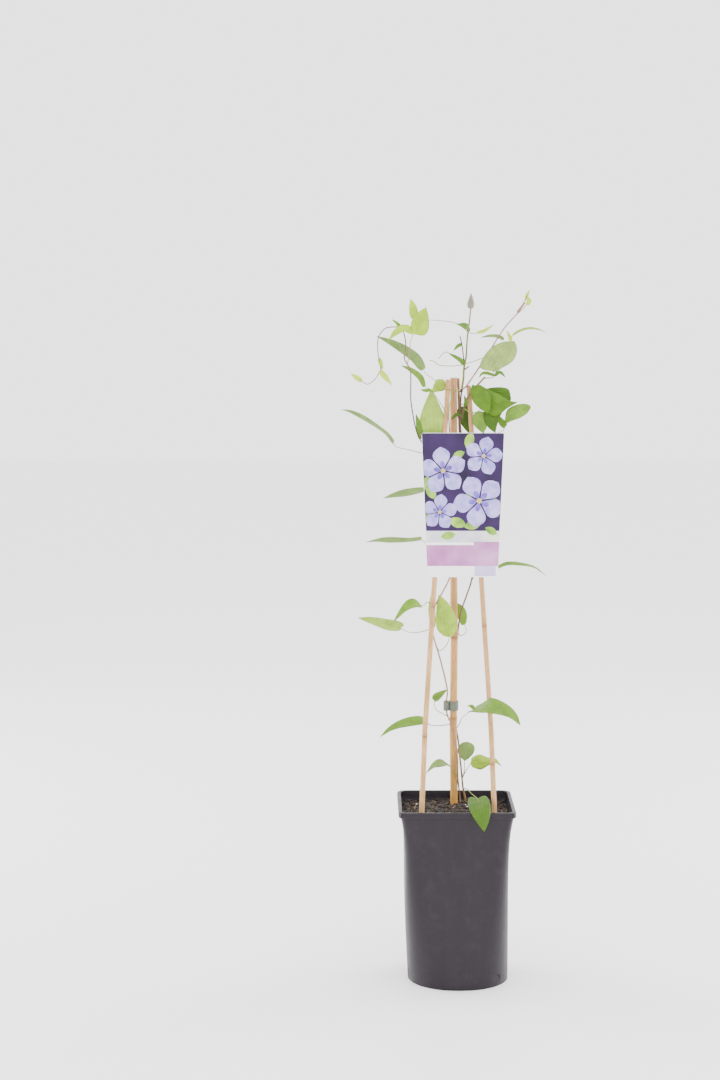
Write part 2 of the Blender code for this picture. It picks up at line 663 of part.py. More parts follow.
def vine_right(collection, finish):
    """The right vine: behind the middle cane, behind the label and up to the crown."""
    x, y, _ = RIGHT_FOOT
    main = stem([(x, y, ROOT_DEPTH), (x, y, 180), (x, y, 203), (7, 40, 221), (4.5, 33, 244.5),
                 (2.5, 29, 261.5), (1, 33, 279), (-2, 35.5, 296.5), (-4, 36, 319.5),
                 (-3.5, 34.5, 348), (-2.5, 32.5, 378.5), (-1, 29.5, 409.5), (1.5, 25.5, 430.5),
                 (4, 21, 443.5), (9.5, 15, 461), (14.5, 10, 478.5), (17, 4, 503), (14, 0, 551),
                 (7, 4, 609.5), (2, 4, 644.5), (-0.5, 1, 668.5), (0, 0, 687), CROWN], 1.15, 0.95)
    knot = stem([Vector(CROWN) - Vector((0.2, 0, 2.6)), CROWN, Vector(CROWN) + Vector((0.2, 0, 1.6))],
                CROWN_RADIUS, CROWN_RADIUS * 0.9, 2.0)
    stub = stem([(2, 4, 643.5), (-0.5, 8.5, 656), (-1, 8.5, 691), (-1.5, 8, 716.5)], 1.45, 1.5)
    pieces = [main, knot, stub]
    # Heart leaf that hangs over the front rim
    pieces += sprig([(7.5, 40.5, 219), (11, 33, 221.5), (16, 4, 222)],
                    [(21, -37, 226), (22, -57, 222.5), (23.5, -70, 216.5), (25.5, -76, 208),
                     (27, -77, 196.5)], 12.8, face=(0, -0.75, 0.65), lobe=0.2, fold=0.1,
                    rows=7, columns=6)
    # Two round leaves on stalks from the low joint
    pieces += sprig([(6, 36, 234), (8, 34, 242), (8.5, 35.5, 249)],
                    [(8.5, 36.5, 254.5), (9.5, 39.5, 267.5), (10.5, 46, 273.5), (11.5, 56, 271)], 10.5,
                    face=(0, -0.8, 0.6), lobe=0.05, peak=0.4)
    pieces += sprig([(6, 36, 234), (9.5, 30, 243.5)],
                    [(15, 26.5, 253.5), (22.5, 20, 261.5), (30.5, 14, 257.5), (40, 8, 263.5),
                     (50.5, 2, 256.5)], 9.0, face=(0.1, -0.6, 0.8), lobe=0.16, rows=7)
    # Broad leaf that arches in front of the right cane
    pieces += sprig([(-1.5, 35, 294.5), (3, 30, 303.5), (3, 18, 309), (7, -4, 319)],
                    [(15.5, -26, 330.5), (26, -46, 341), (36, -57, 344.5), (51, -62, 340),
                     (61, -65, 332.5), (68.5, -66, 320)], 11.5, face=(0.1, -0.72, 0.68), lobe=0.12,
                    wave=0.1, rows=8)
    pieces += [leaf([(16.5, -28, 331.5), (13, -25, 334.5), (8.5, -20, 333)], 2.4,
                    face=(0, -0.7, 0.7), lobe=0.02, rows=4)]
    # Small round leaf behind the middle cane
    pieces += sprig([(-0.5, 29.5, 412), (3, 29, 408.5), (9.5, 30, 413.5)],
                    [(7.5, 32, 419), (3, 33, 434), (-4, 33, 444.5), (-13, 31, 447.5)], 7.5,
                    face=(0.3, -1, 0), lobe=0.15)
    # Narrow leaf out to the right at the label's foot
    pieces += sprig([(14.5, 10, 478.5), (22, 9, 487.5), (36, 6, 491.5)],
                    [(44, 7, 493), (56, 10, 497.5), (71.5, 14, 496.5), (88.5, 18, 492.5),
                     (103, 20, 482)], 3.8, face=(0, -0.45, 0.9), lobe=0.05)
    # Leaves on the stalk that climbs from behind the label's right top corner
    pieces += sprig([(4.5, 4, 630.5), (20.5, 1, 641.5), (36.5, -3, 650.5), (46.5, -6, 655),
                     (50.5, -8, 658.5)],
                    [(51.5, -9.5, 665), (57, -14, 673.5), (67, -18, 679.5), (80, -20, 686.5)],
                    9.4, face=(-0.1, -0.9, 0.4), lobe=0.08, peak=0.5)
    pieces += [leaf([(52, -9.5, 661.5), (46.5, -12, 667.5), (41.5, -14, 676.5)], 4.4,
                    face=(0.2, -0.9, 0.3), lobe=0.05)]
    # Leaves behind and across the middle cane
    pieces += sprig([(0, 0, 685.5), (2.5, 6, 687)],
                    [(4.5, 13, 683), (7, 14, 668.5), (11, 12, 651)], 9.5,
                    face=(0, -1, 0.1), lobe=0.1)
    pieces += [leaf([(0, 0.5, 675.5), (-6, -3.5, 674), (-11.5, -5, 669)], 2.4,
                    face=(0, -0.9, 0.4), lobe=0.02, rows=4)]
    return fuse("vine_right", pieces, collection, finish)


def from_crown(toward, clearance=0.5):
    """Where a side shoot starts: just off the crown joint, on the side it grows towards."""
    joint, toward = Vector(CROWN), Vector(toward)
    return joint + (toward - joint).normalized() * (CROWN_RADIUS + clearance)


def shoot_arch(collection, finish):
    """The long thin shoot that arches over to the left, with its young leaves."""
    pieces = [stem([(-14.5, -1, 614.5), (-23.5, 1, 621.5), (-35.5, -3, 631), (-47, -7.5, 646),
                    (-52.5, -13, 660), (-56.5, -20, 680.5), (-58.5, -24, 696), (-58.5, -28, 717),
                    (-59.5, -30, 729.5), (-66, -31, 742), (-64.5, -33, 758.5), (-67.5, -36, 773.5),
                    (-72, -39, 778), (-80, -42, 778.5), (-88.5, -46, 777), (-95.5, -52, 768.5),
                    (-97, -55, 758.5), (-96, -57, 746.5), (-93.5, -58, 734), (-95, -58.5, 728),
                    (-100.5, -59, 719.5), (-108, -60, 714.5), (-114, -60, 717), (-118, -60.5, 720.5)],
                   0.85, 0.5, 8.0, 0)]
    pieces += [leaf([(-47, -7.5, 647), (-49, -10, 663.5), (-52, -12, 676.5)], 3.4,
                    face=(0, -1, 0.1), lobe=0.03, rows=4)]
    pieces += sprig([(-62.5, -30.5, 736), (-60, -37, 749.5), (-59.5, -40, 760.5)],
                    [(-55.5, -41.5, 771.5), (-49, -44, 781.5), (-44.5, -45, 791), (-42, -45, 800.5)],
                    9.4, face=(0.1, -1, 0.15), lobe=0.14, rows=6)
    pieces += [leaf([(-55.5, -41.5, 772.5), (-66.5, -46, 777), (-76, -49, 772.5), (-84.5, -50, 764)],
                    5.2, face=(-0.2, -0.8, 0.5), lobe=0.04)]
    # Leaflets along the arch
    small = dict(lobe=0.02, rows=4)
    pieces += [leaf([(-69.5, -37.5, 776.5), (-74.5, -39.5, 782.5), (-80.5, -41, 787)], 1.9,
                    face=(-0.3, -0.8, 0.5), **small),
               leaf([(-95.5, -57, 744), (-93, -58, 737), (-91.5, -57, 730)], 2.4,
                    face=(0, -1, 0.1), **small),
               leaf([(-94.5, -58.5, 729.5), (-88, -60, 722), (-80.5, -61, 713.5)], 3.4,
                    face=(0.2, -0.9, 0.3), **small),
               leaf([(-115, -60, 718), (-121, -61, 722), (-127.5, -62, 726.5)], 2.9,
                    face=(-0.1, -0.9, 0.4), **small)]
    return fuse("shoot_arch", pieces, collection, finish)


def shoot_centre(collection, finish):
    """The upright shoot with the closed flower bud, its leaves and its long leaf stalks."""
    low_joint, high_joint = (4.5, -5, 734.5), (7.5, -10, 770)
    start = from_crown((3, -3, 715))
    small = dict(lobe=0.02, rows=4)
    pieces = [stem([start, (3, -3, 716.5), (3.5, -4, 728), low_joint, (6, -6, 743),
                    (6.5, -8, 755), high_joint, (9, -11, 780.5), (10.5, -13, 797.5)], 1.15, 0.75)]
    pieces += [leaf([(7.5, -11, 769.5), (8, -16, 775.5), (1.5, -19, 779), (-6, -20, 780.5)],
                    5.6, face=(-0.2, -0.65, 0.75), lobe=0.1)]
    pieces += sprig([(7.5, -10, 770.5), (11.5, -8, 769.5)],
                    [(18, -4, 769.5), (27.5, 4, 772), (38.5, 12, 778.5)], 2.2, STALK - 0.1,
                    face=(0, -0.85, 0.5), **small)
    # Long stalk to the left with the bright upright leaf at its end
    pieces += sprig([(7.5, -10, 772), (1.5, -12.5, 776.5), (-5.5, -15, 781), (-13.5, -20, 783.5),
                     (-25, -27, 785), (-37, -33, 786), (-48.5, -37, 785)],
                    [(-54.5, -37.5, 788), (-56.5, -37, 800), (-59, -35, 810)], 5.0, STALK - 0.1,
                    face=(0, -1, 0.1), lobe=0.08)
    # Brown side shoot with a small leaf
    pieces += [stem([(4.5, -5, 733.5), (3, -1.5, 741.5), (2, 0, 751.5), (0.5, 1, 759.5),
                     (-1, 2, 766)], 0.8, 0.7),
               leaf([(1, 1, 757), (-4, -2, 754), (-8.5, -4, 749.5)], 2.2,
                    face=(-0.1, -0.9, 0.4), **small)]
    # Narrow leaf with a trailing tip, and two long bare leaf stalks
    pieces += [leaf([(4, -5, 733.5), (-0.5, -8, 738), (-7, -12, 742.5), (-15.5, -15, 747.5)], 3.0,
                    face=(-0.2, -0.8, 0.5), lobe=0.02),
               stem([(-12.5, -14, 746), (-17.5, -15.5, 748.5), (-21.5, -16.5, 746.5), (-26.5, -18, 741)],
                    0.5, 0.45, STALK_STEP, 0),
               stem([(4.5, -5, 733), (-1.5, -9, 732.5), (-14, -12, 732), (-26, -15, 733.5),
                     (-31.5, -17, 737.5), (-36.5, -18, 739)], 0.5, 0.45, STALK_STEP, 0),
               stem([(4.5, -5, 734.5), (9, -4, 735), (17.5, 0, 737.5), (26, 3, 740.5),
                     (33, 5, 742)], 0.5, 0.45, STALK_STEP, 0),
               stem([(4, -4, 727.5), (6.5, -5, 729), (9.5, -6, 731.5)], 0.9, 0.6, STALK_STEP, 0)]
    return fuse("shoot_centre", pieces, collection, finish)


def closed_bud(name, base, tip, half_width, collection, finish):
    """A pointed flower bud: a turned teardrop, from its seat on the stem to its tip."""
    base, tip = Vector(base), Vector(tip)
    length = (tip - base).length
    rings = []
    for step in range(BUD_RINGS):
        place = 0.03 + 0.95 * step / (BUD_RINGS - 1)
        swell = math.sin(math.pi * place ** 0.62) ** 0.85 * (1.0 - 0.35 * place)
        radius = max(half_width * swell, BUD_TIP_RADIUS)
        turns = [2.0 * math.pi * i / BUD_SIDES for i in range(BUD_SIDES)]
        rings.append([(radius * math.cos(a), radius * math.sin(a), place * length) for a in turns])
    mesh = loft(rings)
    turn = (tip - base).to_track_quat("Z", "Y").to_matrix().to_4x4()
    mesh.transform(Matrix.Translation(base * MM) @ turn)
    body = add_object(name, mesh, collection, finish)
    smooth_shading(body, 60.0)
    return body


def shoot_right(collection, finish):
    """The shoot that leans out to the right, with its spray of young buds at the tip."""
    start = from_crown((6, -7, 708.5))
    small = dict(lobe=0.02, rows=4)
    pieces = [stem([start, (6, -7.5, 708), (9.5, -11, 713.5), (21, -8, 730), (29, -3, 742),
                    (37, 2, 754), (43, 5, 763.5), (53, 9, 777.5), (65.5, 13, 791),
                    (70.5, 15, 799), (75, 16.5, 806.5), (77, 17, 812)], 0.85, 0.5)]
    pieces += [leaf([(76, 16.5, 807), (77.5, 17, 812.5), (80.5, 18, 818.5)], 1.8,
                    face=(-0.2, -1, 0), **small),
               stem([(65.5, 13, 791), (72.5, 13, 796.5), (78, 13.5, 804)], 0.45, 0.4, STALK_STEP, 0),
               leaf([(77.5, 13, 802), (79, 13.5, 806.5), (77, 14, 810.5)], 2.2,
                    face=(0, -1, 0), **small),
               stem([(67.5, 14, 794), (70.5, 14, 798), (74.5, 13.5, 803)], 1.5, 0.7)]
    # Two narrow leaves and a small bright one near the big pale leaf
    pieces += sprig([(44, 5, 764.5), (48.5, 7.5, 760.5)],
                    [(50.5, 9.5, 762), (42.5, 10, 765), (33, 8, 765.5), (23.5, 6, 764)], 2.8,
                    STALK - 0.1, face=(0, -0.7, 0.7), lobe=0.04)
    pieces += sprig([(30, -2, 743.5), (43.5, 4, 749), (52.5, 6, 755), (58.5, 5, 761)],
                    [(60.5, 8, 766.5), (69.5, 13, 771.5), (80.5, 18, 774), (91.5, 22, 772.5),
                     (100.5, 25, 769)], 2.0, STALK - 0.1, face=(0, -0.7, 0.7), lobe=0.02)
    pieces += [leaf([(59, 5, 760), (56.5, 4, 765.5), (53.5, 3, 772.5)], 2.2,
                    face=(0, -1, 0.1), **small)]
    return fuse("shoot_right", pieces, collection, finish)


def spur_right(collection, finish):
    """The short woody spur in front of the right cane, with the dense leaves of the crown."""
    pieces = [stem([(1, -1, 668.5), (3.5, -7.5, 682), (7.5, -11.5, 695), (12, -12.5, 702.5),
                    (17, -13.5, 708), (27.5, -14.5, 719.5)], 1.0, 1.15)]
    # Large pale leaf and two small ones on one stalk from the spur's cut end
    pieces += sprig([(26.5, -14.5, 718), (32, -16, 718.5), (37.5, -17, 719.5)],
                    [(37, -17, 726), (41.5, -22, 738.5), (48, -25, 749.5), (61, -24, 761.5)], 15.6,
                    face=(-0.1, -1, 0.1), lobe=0.08, rows=7, columns=6, peak=0.45)
    pieces += [leaf([(39, -17, 721), (29.5, -17, 724), (24, -18, 723.5), (20.5, -19, 719.5)], 2.2,
                    face=(0, -0.8, 0.6), lobe=0.02),
               leaf([(38.5, -17, 721), (44.5, -18, 725), (51, -20, 719.5)], 2.4,
                    face=(0, -0.8, 0.6), lobe=0.02)]
    # Dense leaves to the right of the cane head
    pieces += [leaf([(17.5, -13.5, 709), (21, -20, 700), (25.5, -23, 689.5), (30.5, -24, 677.5)], 10.8,
                    face=(-0.2, -1, 0.25), lobe=0.1, peak=0.42),
               leaf([(18.5, -13.5, 707.5), (32, -16, 694.5), (47, -19, 688), (64.5, -21, 690.5)], 13.5,
                    face=(0.15, -0.95, 0.3), lobe=0.12, rows=6, peak=0.42)]
    pieces += sprig([(14.5, -13, 705), (19.5, -11.5, 706)],
                    [(24.5, -9.5, 704), (36, -5, 702), (48, -4, 701), (59, -4, 696)], 10.2,
                    face=(0, -0.95, 0.3), lobe=0.1, peak=0.46)
    pieces += sprig([(4, -7.5, 682.5), (9.5, -12, 679.5), (17.5, -14.5, 678.5)],
                    [(26.5, -16.5, 680), (32, -18, 670.5), (40, -18, 656)], 8.4,
                    face=(-0.1, -1, 0.1), lobe=0.1)
    pieces += [leaf([(19, -14.5, 679.5), (22.5, -14, 669.5), (27.5, -15.5, 657)], 7.2,
                    face=(0.05, -1, 0.1), lobe=0.1),
               leaf([(5, -9, 685), (5.5, -13, 691), (3.5, -13, 698.5)], 2.2,
                    face=(0, -1, 0.1), lobe=0.02, rows=4)]
    return fuse("spur_right", pieces, collection, finish)


def leaf_long_stalk(collection, finish):
    """The long pointed leaf whose stalk grips the heads of the left and middle canes."""
    start = from_crown((-6.5, -4, 703.5))
    pieces = sprig([start, (-6.5, -4, 703.5), (-16, -10, 705), (-24.5, -12, 710),
                    (-31, -13, 716), (-40.5, -15, 723)],
                   [(-44, -16, 728.5), (-53.5, -18, 742), (-70, -20, 753.5), (-85, -22, 761.5),
                    (-98, -24, 767)], 5.6, face=(-0.35, -0.8, 0.45), lobe=0.06, rows=8)
    return fuse("leaf_long_stalk", pieces, collection, finish)


def build():
    clear_scene()
    plant = new_collection("potted clematis on canes")
    cutters = new_collection("cutters")
    pot(plant, cutters)
    soil(plant, cutters)
    cane("cane_left", CANE_LEFT, (300, 452), (0.72, 0.48, 0.27), plant)
    cane("cane_right", CANE_RIGHT, (268, 430), (0.72, 0.48, 0.27), plant, slant=0.45)
    cane("cane_middle", CANE_MIDDLE, (309, 408, 560), (0.66, 0.42, 0.22), plant)
    holder, holes = clip(plant)
    bores = [add_cutter(f"clip cutter {i}", mesh, cutters) for i, mesh in enumerate(holes)]
    cut(holder, bores)
    label(plant)
    label_strap(plant)
    green = material("clematis_green", (0.24, 0.39, 0.05), 0.5)
    young = material("clematis_young_green", (0.45, 0.62, 0.12), 0.5)
    dark = material("clematis_dark_green", (0.17, 0.33, 0.02), 0.5)
    vine_left(plant, green)
    vine_right(plant, green)
    shoot_arch(plant, young)
    shoot_centre(plant, green)
    shoot_right(plant, green)
    spur_right(plant, dark)
    leaf_long_stalk(plant, green)
    bud = material("bud_down", (0.42, 0.38, 0.3), 0.8)
    closed_bud("bud_centre", (10.5, -13, 797.5), (11, -14.5, 816), 4.1, plant, bud)


build()
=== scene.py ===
# %% [markdown]
# A young clematis in a deep nursery pot, trained up three bamboo canes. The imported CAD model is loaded
# first and never moved: it gives the sizes, and every finer piece made here stands where a CAD node is.
# Lengths are written in millimetres and turned to metres by MM; only the camera, the floor, the lights
# and the depths inside the shaders are in metres.

# %% Load the frame
import math

import bmesh
import bpy
from mathutils import Matrix, Vector, noise


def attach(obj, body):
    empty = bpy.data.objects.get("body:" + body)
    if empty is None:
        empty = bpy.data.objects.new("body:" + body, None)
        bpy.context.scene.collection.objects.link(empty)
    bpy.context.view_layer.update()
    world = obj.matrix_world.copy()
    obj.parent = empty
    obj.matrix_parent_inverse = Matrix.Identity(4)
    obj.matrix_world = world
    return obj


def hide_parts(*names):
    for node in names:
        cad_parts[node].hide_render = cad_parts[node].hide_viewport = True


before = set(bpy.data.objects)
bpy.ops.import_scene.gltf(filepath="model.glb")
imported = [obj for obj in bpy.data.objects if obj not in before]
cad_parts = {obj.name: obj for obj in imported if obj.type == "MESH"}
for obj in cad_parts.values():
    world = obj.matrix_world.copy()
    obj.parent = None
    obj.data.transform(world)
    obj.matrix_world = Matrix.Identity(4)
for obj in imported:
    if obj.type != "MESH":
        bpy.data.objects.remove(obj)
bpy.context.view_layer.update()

MM = 0.001
print("nodes:", ", ".join(sorted(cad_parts)))


def mm(point):
    """A place in millimetres as a vector in metres."""
    return Vector(point) * MM


# %% [markdown]
# The camera stands nearly three metres away, a little above the plant, and looks down by a few degrees,
# so the soil shows as a narrow band inside the rim. A long lens keeps the pot's sides almost parallel.

# %% Camera
CAMERA_PLACE = (-0.117, -2.934, 0.922)
CAMERA_DOWN = 7.66
CAMERA_LENS = 84.2
CAMERA_SENSOR = 36.0

camera_data = bpy.data.cameras.new("camera")
camera_data.lens = CAMERA_LENS
camera_data.sensor_width = CAMERA_SENSOR
camera = bpy.data.objects.new("camera", camera_data)
camera.location = CAMERA_PLACE
camera.rotation_euler = (math.radians(90.0 - CAMERA_DOWN), 0.0, 0.0)
bpy.context.scene.collection.objects.link(camera)
bpy.context.scene.camera = camera
print("camera at", CAMERA_PLACE)

# %% [markdown]
# Each job is one small function, so a later cell only says what is special to it.

# %% Small helpers for nodes, colours and meshes


def add_node(tree, kind, sockets=None, **settings):
    """Adds one node with its settings. A value given for a socket is set, and a node or output is linked."""
    node = tree.nodes.new(kind)
    for key, value in settings.items():
        setattr(node, key, value)
    for key, value in (sockets or {}).items():
        socket = node.inputs[key] if isinstance(key, int) else next(
            s for s in node.inputs if s.name == key and s.enabled)
        if isinstance(value, bpy.types.Node):
            value = next(s for s in value.outputs if s.enabled)
        if isinstance(value, bpy.types.NodeSocket):
            tree.links.new(value, socket)
        else:
            socket.default_value = value
    return node


def plug(tree, node, socket):
    """Links a node's first output to a socket of the shader."""
    tree.links.new(next(s for s in node.outputs if s.enabled), socket)


def colour(code):
    """An sRGB hex value as a linear RGBA colour."""
    channels = [int(code[i:i + 2], 16) / 255.0 for i in (1, 3, 5)]
    linear = [c / 12.92 if c <= 0.04045 else ((c + 0.055) / 1.055) ** 2.4 for c in channels]
    return (*linear, 1.0)


def new_material(name, **shader_values):
    """A Principled material, and its tree and shader, with constants set on the shader itself."""
    finish = bpy.data.materials.new(name)
    finish.use_nodes = True
    tree = finish.node_tree
    shader = tree.nodes["Principled BSDF"]
    for key, value in shader_values.items():
        shader.inputs[key.replace("_", " ")].default_value = value
    return finish, tree, shader


def marks(width):
    """The scale of a pattern whose marks are this many millimetres wide."""
    return 1.0 / (width * MM)


def new_object(name, mesh, *finishes):
    """Puts a mesh in the scene as an object, with its materials."""
    thing = bpy.data.objects.new(name, mesh)
    bpy.context.scene.collection.objects.link(thing)
    for finish in finishes:
        thing.data.materials.append(finish)
    return thing


def bake(thing):
    """Turns the evaluated object into a plain mesh and takes its modifiers away."""
    graph = bpy.context.evaluated_depsgraph_get()
    graph.update()
    mesh = bpy.data.meshes.new_from_object(thing.evaluated_get(graph), preserve_all_data_layers=True,
                                           depsgraph=graph)
    thing.modifiers.clear()
    thing.data = mesh
    return thing


def smooth(thing, angle=40.0):
    """Shades a piece smooth, and keeps the edges that turn by more than an angle in degrees sharp."""
    thing.data.shade_smooth()
    thing.data.set_sharp_from_angle(angle=math.radians(angle))
    return thing


def piece(thing, slot, *nodes):
    """Attaches a finished piece to the root body, hides the CAD nodes it stands for and prints its face
    count; slot is not used.
    """
    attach(thing, "root")
    if nodes:
        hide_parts(*nodes)
    print(thing.name, len(thing.data.polygons), "faces")
    return thing


# %% [markdown]
# A product photo of this kind is lit by wide soft boxes on both sides, which draw a pale stripe down
# each corner of the pot, and by a bright pale surrounding that leaves hardly any shadow. Three square
# area lights, each more than a metre wide, and a bright world do the same over a plain pale floor.

# %% Floor and lights
FLOOR_HALF = 6.0
SURROUND_STRENGTH = 3.0
# Name, place and aim in metres, width in metres, watts
SOFT_BOXES = (
    ("left box", (-1.7, 0.9, 0.9), (0.0, 0.0, 0.35), 1.2, 34.0),
    ("right box", (1.7, 0.8, 0.9), (0.0, 0.0, 0.35), 1.2, 34.0),
    ("front box", (0.3, -3.2, 2.6), (0.0, 0.0, 0.45), 1.8, 36.0),
)

floor_mesh = bpy.data.meshes.new("floor")
floor_mesh.from_pydata([(-FLOOR_HALF, -FLOOR_HALF, 0), (FLOOR_HALF, -FLOOR_HALF, 0),
                        (FLOOR_HALF, FLOOR_HALF, 0), (-FLOOR_HALF, FLOOR_HALF, 0)], [], [(0, 1, 2, 3)])
floor_paint, _, _ = new_material("studio_floor_paper", Base_Color=colour("#fbfafb"), Roughness=0.6)
floor = new_object("floor", floor_mesh, floor_paint)

surround = bpy.data.worlds.new("pale studio")
surround.use_nodes = True
glow = surround.node_tree.nodes["Background"]
glow.inputs["Color"].default_value = colour("#f6f6f8")
glow.inputs["Strength"].default_value = SURROUND_STRENGTH
bpy.context.scene.world = surround

for name, place, aim, width, watts in SOFT_BOXES:
    lamp = bpy.data.lights.new(name, "AREA")
    lamp.shape = "SQUARE"
    lamp.size = width
    lamp.energy = watts
    holder = bpy.data.objects.new(name, lamp)
    holder.location = place
    holder.rotation_euler = (Vector(aim) - Vector(place)).to_track_quat("-Z", "Y").to_euler()
    bpy.context.scene.collection.objects.link(holder)
print("floor and", len(SOFT_BOXES), "soft boxes")

# %% [markdown]
# The pot is thin-walled polypropylene, black with some recycled grey in it, and moulded in one shot: a
# satin skin with faint upright flow streaks and patches of dust, which also dull the gloss a little.
# Object coordinates carry the pattern, stretched along Z for the streaks. The moulded grain is finer
# than this view shows and only softens the highlights.

# %% Moulded polypropylene
STREAK_WIDTH = 11.11
STREAK_LENGTH = 166.7
DUST_PATCH = 16.67
MOULD_GRAIN = 0.3846

pot_plastic, tree, shader = new_material("moulded_polypropylene", IOR=1.49, Specular_IOR_Level=0.22)
place = add_node(tree, "ShaderNodeTexCoord").outputs["Object"]
upright = add_node(tree, "ShaderNodeMapping", {
    "Vector": place, "Scale": (marks(STREAK_WIDTH), marks(STREAK_WIDTH), marks(STREAK_LENGTH))})
streaks = add_node(tree, "ShaderNodeTexNoise", {"Vector": upright, "Scale": 1.0, "Detail": 4.0})
dust = add_node(tree, "ShaderNodeTexNoise", {"Vector": place, "Scale": marks(DUST_PATCH), "Detail": 6.0,
                                             "Roughness": 0.7})
grain = add_node(tree, "ShaderNodeTexNoise", {"Vector": place, "Scale": marks(MOULD_GRAIN), "Detail": 1.0})
dusty = add_node(tree, "ShaderNodeMapRange", {"Value": dust, "From Min": 0.5, "From Max": 0.75,
                                              "To Min": 0.0, "To Max": 0.16})
skin = add_node(tree, "ShaderNodeMix", {"Factor": streaks, "A": colour("#1a151a"), "B": colour("#221c22")},
                data_type="RGBA")
coat = add_node(tree, "ShaderNodeMix", {"Factor": dusty, "A": skin, "B": colour("#413a41")}, data_type="RGBA")
sheen = add_node(tree, "ShaderNodeMapRange", {"Value": dust, "From Min": 0.3, "From Max": 0.7,
                                              "To Min": 0.34, "To Max": 0.46})
relief = add_node(tree, "ShaderNodeMath", {0: streaks, 1: grain}, operation="ADD")
bump = add_node(tree, "ShaderNodeBump", {"Height": relief, "Strength": 0.25, "Distance": 0.0004})
plug(tree, coat, shader.inputs["Base Color"])
plug(tree, sheen, shader.inputs["Roughness"])
plug(tree, bump, shader.inputs["Normal"])
print("finish", pot_plastic.name)

# %% [markdown]
# Pot: square at the rim so that pots stand close in a crate, and round at the foot, where the mould is
# easier to draw. A bevelled box could give the rim, but not the slow change to a circle, so one closed
# skin is lofted through level outlines whose corner radius grows downwards, out over the folded rim and
# down the inside. The pot also leans a little and its rim tips back, which each outline works out.

# %% Pot outlines
POT_HEIGHT = 214.0
POT_RIM_HALF = 68.7
POT_FOOT_HALF = 59.8
POT_WALL = 1.4
POT_FLOOR = 1.8
POT_NECK_HEIGHT = 206.5
POT_TOP_CORNER = 8.0
POT_FOOT_CORNER = 56.0
POT_RIM_CORNER = 11.0
POT_BULGE = 1.15
POT_FLARE = 6.2
FLARE_POWER = 9
CORNER_POWER = 1.3
CORNER_STEPS = 12
LEAST_FLAT = 0.4
POT_LEAN = -3.4
LEAN_HEIGHT = 150.0
RIM_TIP = 0.033


def lean_at(height):
    """How far the pot leans sideways at a height; it is straight above LEAN_HEIGHT."""
    return POT_LEAN * math.sin(math.pi / 2.0 * min(height / LEAN_HEIGHT, 1.0))


def tip_at(y, height):
    """How far a point of the pot sinks or lifts, as the rim tips back a little."""
    return -RIM_TIP * y * (height / POT_HEIGHT) ** 2


def rounded_square(half, corner, height):
    """One outline of the pot: a square with round corners, which is a circle when corner nears half."""
    corner = min(corner, half - LEAST_FLAT)
    ring = []
    for quarter in range(4):
        turn = Matrix.Rotation(math.radians(90.0 * quarter), 2)
        for step in range(CORNER_STEPS + 1):
            angle = math.radians(90.0 * step / CORNER_STEPS)
            flat = turn @ Vector((half - corner + corner * math.cos(angle),
                                  half - corner + corner * math.sin(angle)))
            ring.append((flat.x + lean_at(height), flat.y, height + tip_at(flat.y, height)))
    return ring


def pot_half(height):
    """Half the pot wall's outer width at a height: nearly upright, flaring close to the rim."""
    share = min(height / POT_NECK_HEIGHT, 1.0)
    return POT_FOOT_HALF + POT_BULGE * math.sin(math.pi * share) + POT_FLARE * share ** FLARE_POWER


def pot_corner(height):
    """The corner radius at a height: small at the rim, nearly a full circle at the foot."""
    share = 1.0 - min(height / POT_NECK_HEIGHT, 1.0)
    return POT_TOP_CORNER + (POT_FOOT_CORNER - POT_TOP_CORNER) * share ** CORNER_POWER


def wall_ring(height, inset):
    """The pot wall's outline at a height, moved inwards by inset."""
    return rounded_square(pot_half(height) - inset, pot_corner(height) - inset, height)


print("pot rim", 2.0 * POT_RIM_HALF, "mm across")

# %% Lofts, bars and cutters


def mesh_from(shape, name):
    """Turns a bmesh into a mesh and frees it."""
    mesh = bpy.data.meshes.new(name)
    shape.to_mesh(mesh)
    shape.free()
    return mesh


def bridge(shape, lower, upper):
    """Joins two closed rings of vertices, equal in count, by a band of four-sided faces."""
    count = len(lower)
    for i in range(count):
        j = (i + 1) % count
        shape.faces.new((lower[i], lower[j], upper[j], upper[i]))


def loft(rings):
    """A closed body through level outlines of equal count, with flat ends."""
    shape = bmesh.new()
    levels = [[shape.verts.new(mm(p)) for p in ring] for ring in rings]
    for lower, upper in zip(levels, levels[1:]):
        bridge(shape, lower, upper)
    shape.faces.new(list(reversed(levels[0])))
    shape.faces.new(levels[-1])
    bmesh.ops.recalc_face_normals(shape, faces=shape.faces)
    return mesh_from(shape, "loft")


def round_bar(name, start, end, radius, sides=24):
    """A closed round bar between two places, used as a cutter or a pin."""
    start, end = Vector(start), Vector(end)
    shape = bmesh.new()
    bmesh.ops.create_cone(shape, cap_ends=True, segments=sides, radius1=radius * MM, radius2=radius * MM,
                          depth=(end - start).length * MM)
    turn = (end - start).to_track_quat("Z", "Y").to_matrix().to_4x4()
    bmesh.ops.transform(shape, matrix=Matrix.Translation((start + end) / 2.0 * MM) @ turn, verts=shape.verts)
    return mesh_from(shape, name)


def drill(body, cutters):
    """Takes the cutters out of body with Boolean modifiers, bakes it and removes them."""
    for cutter in cutters:
        hole = body.modifiers.new("hole", "BOOLEAN")
        hole.operation = "DIFFERENCE"
        hole.solver = "EXACT"
        hole.object = cutter
    bake(body)
    for cutter in cutters:
        bpy.data.objects.remove(cutter, do_unlink=True)
    return body


# %% [markdown]
# The pot's body is one skin: foot, outer wall, folded rim and inner wall. Cutters open the four drain
# holes and press the shallow dents near the foot. Booleans do this best, because each hole keeps a crisp
# edge in a wall whose outlines stay simple. Two small moulded nubs stand in corners of the rim.

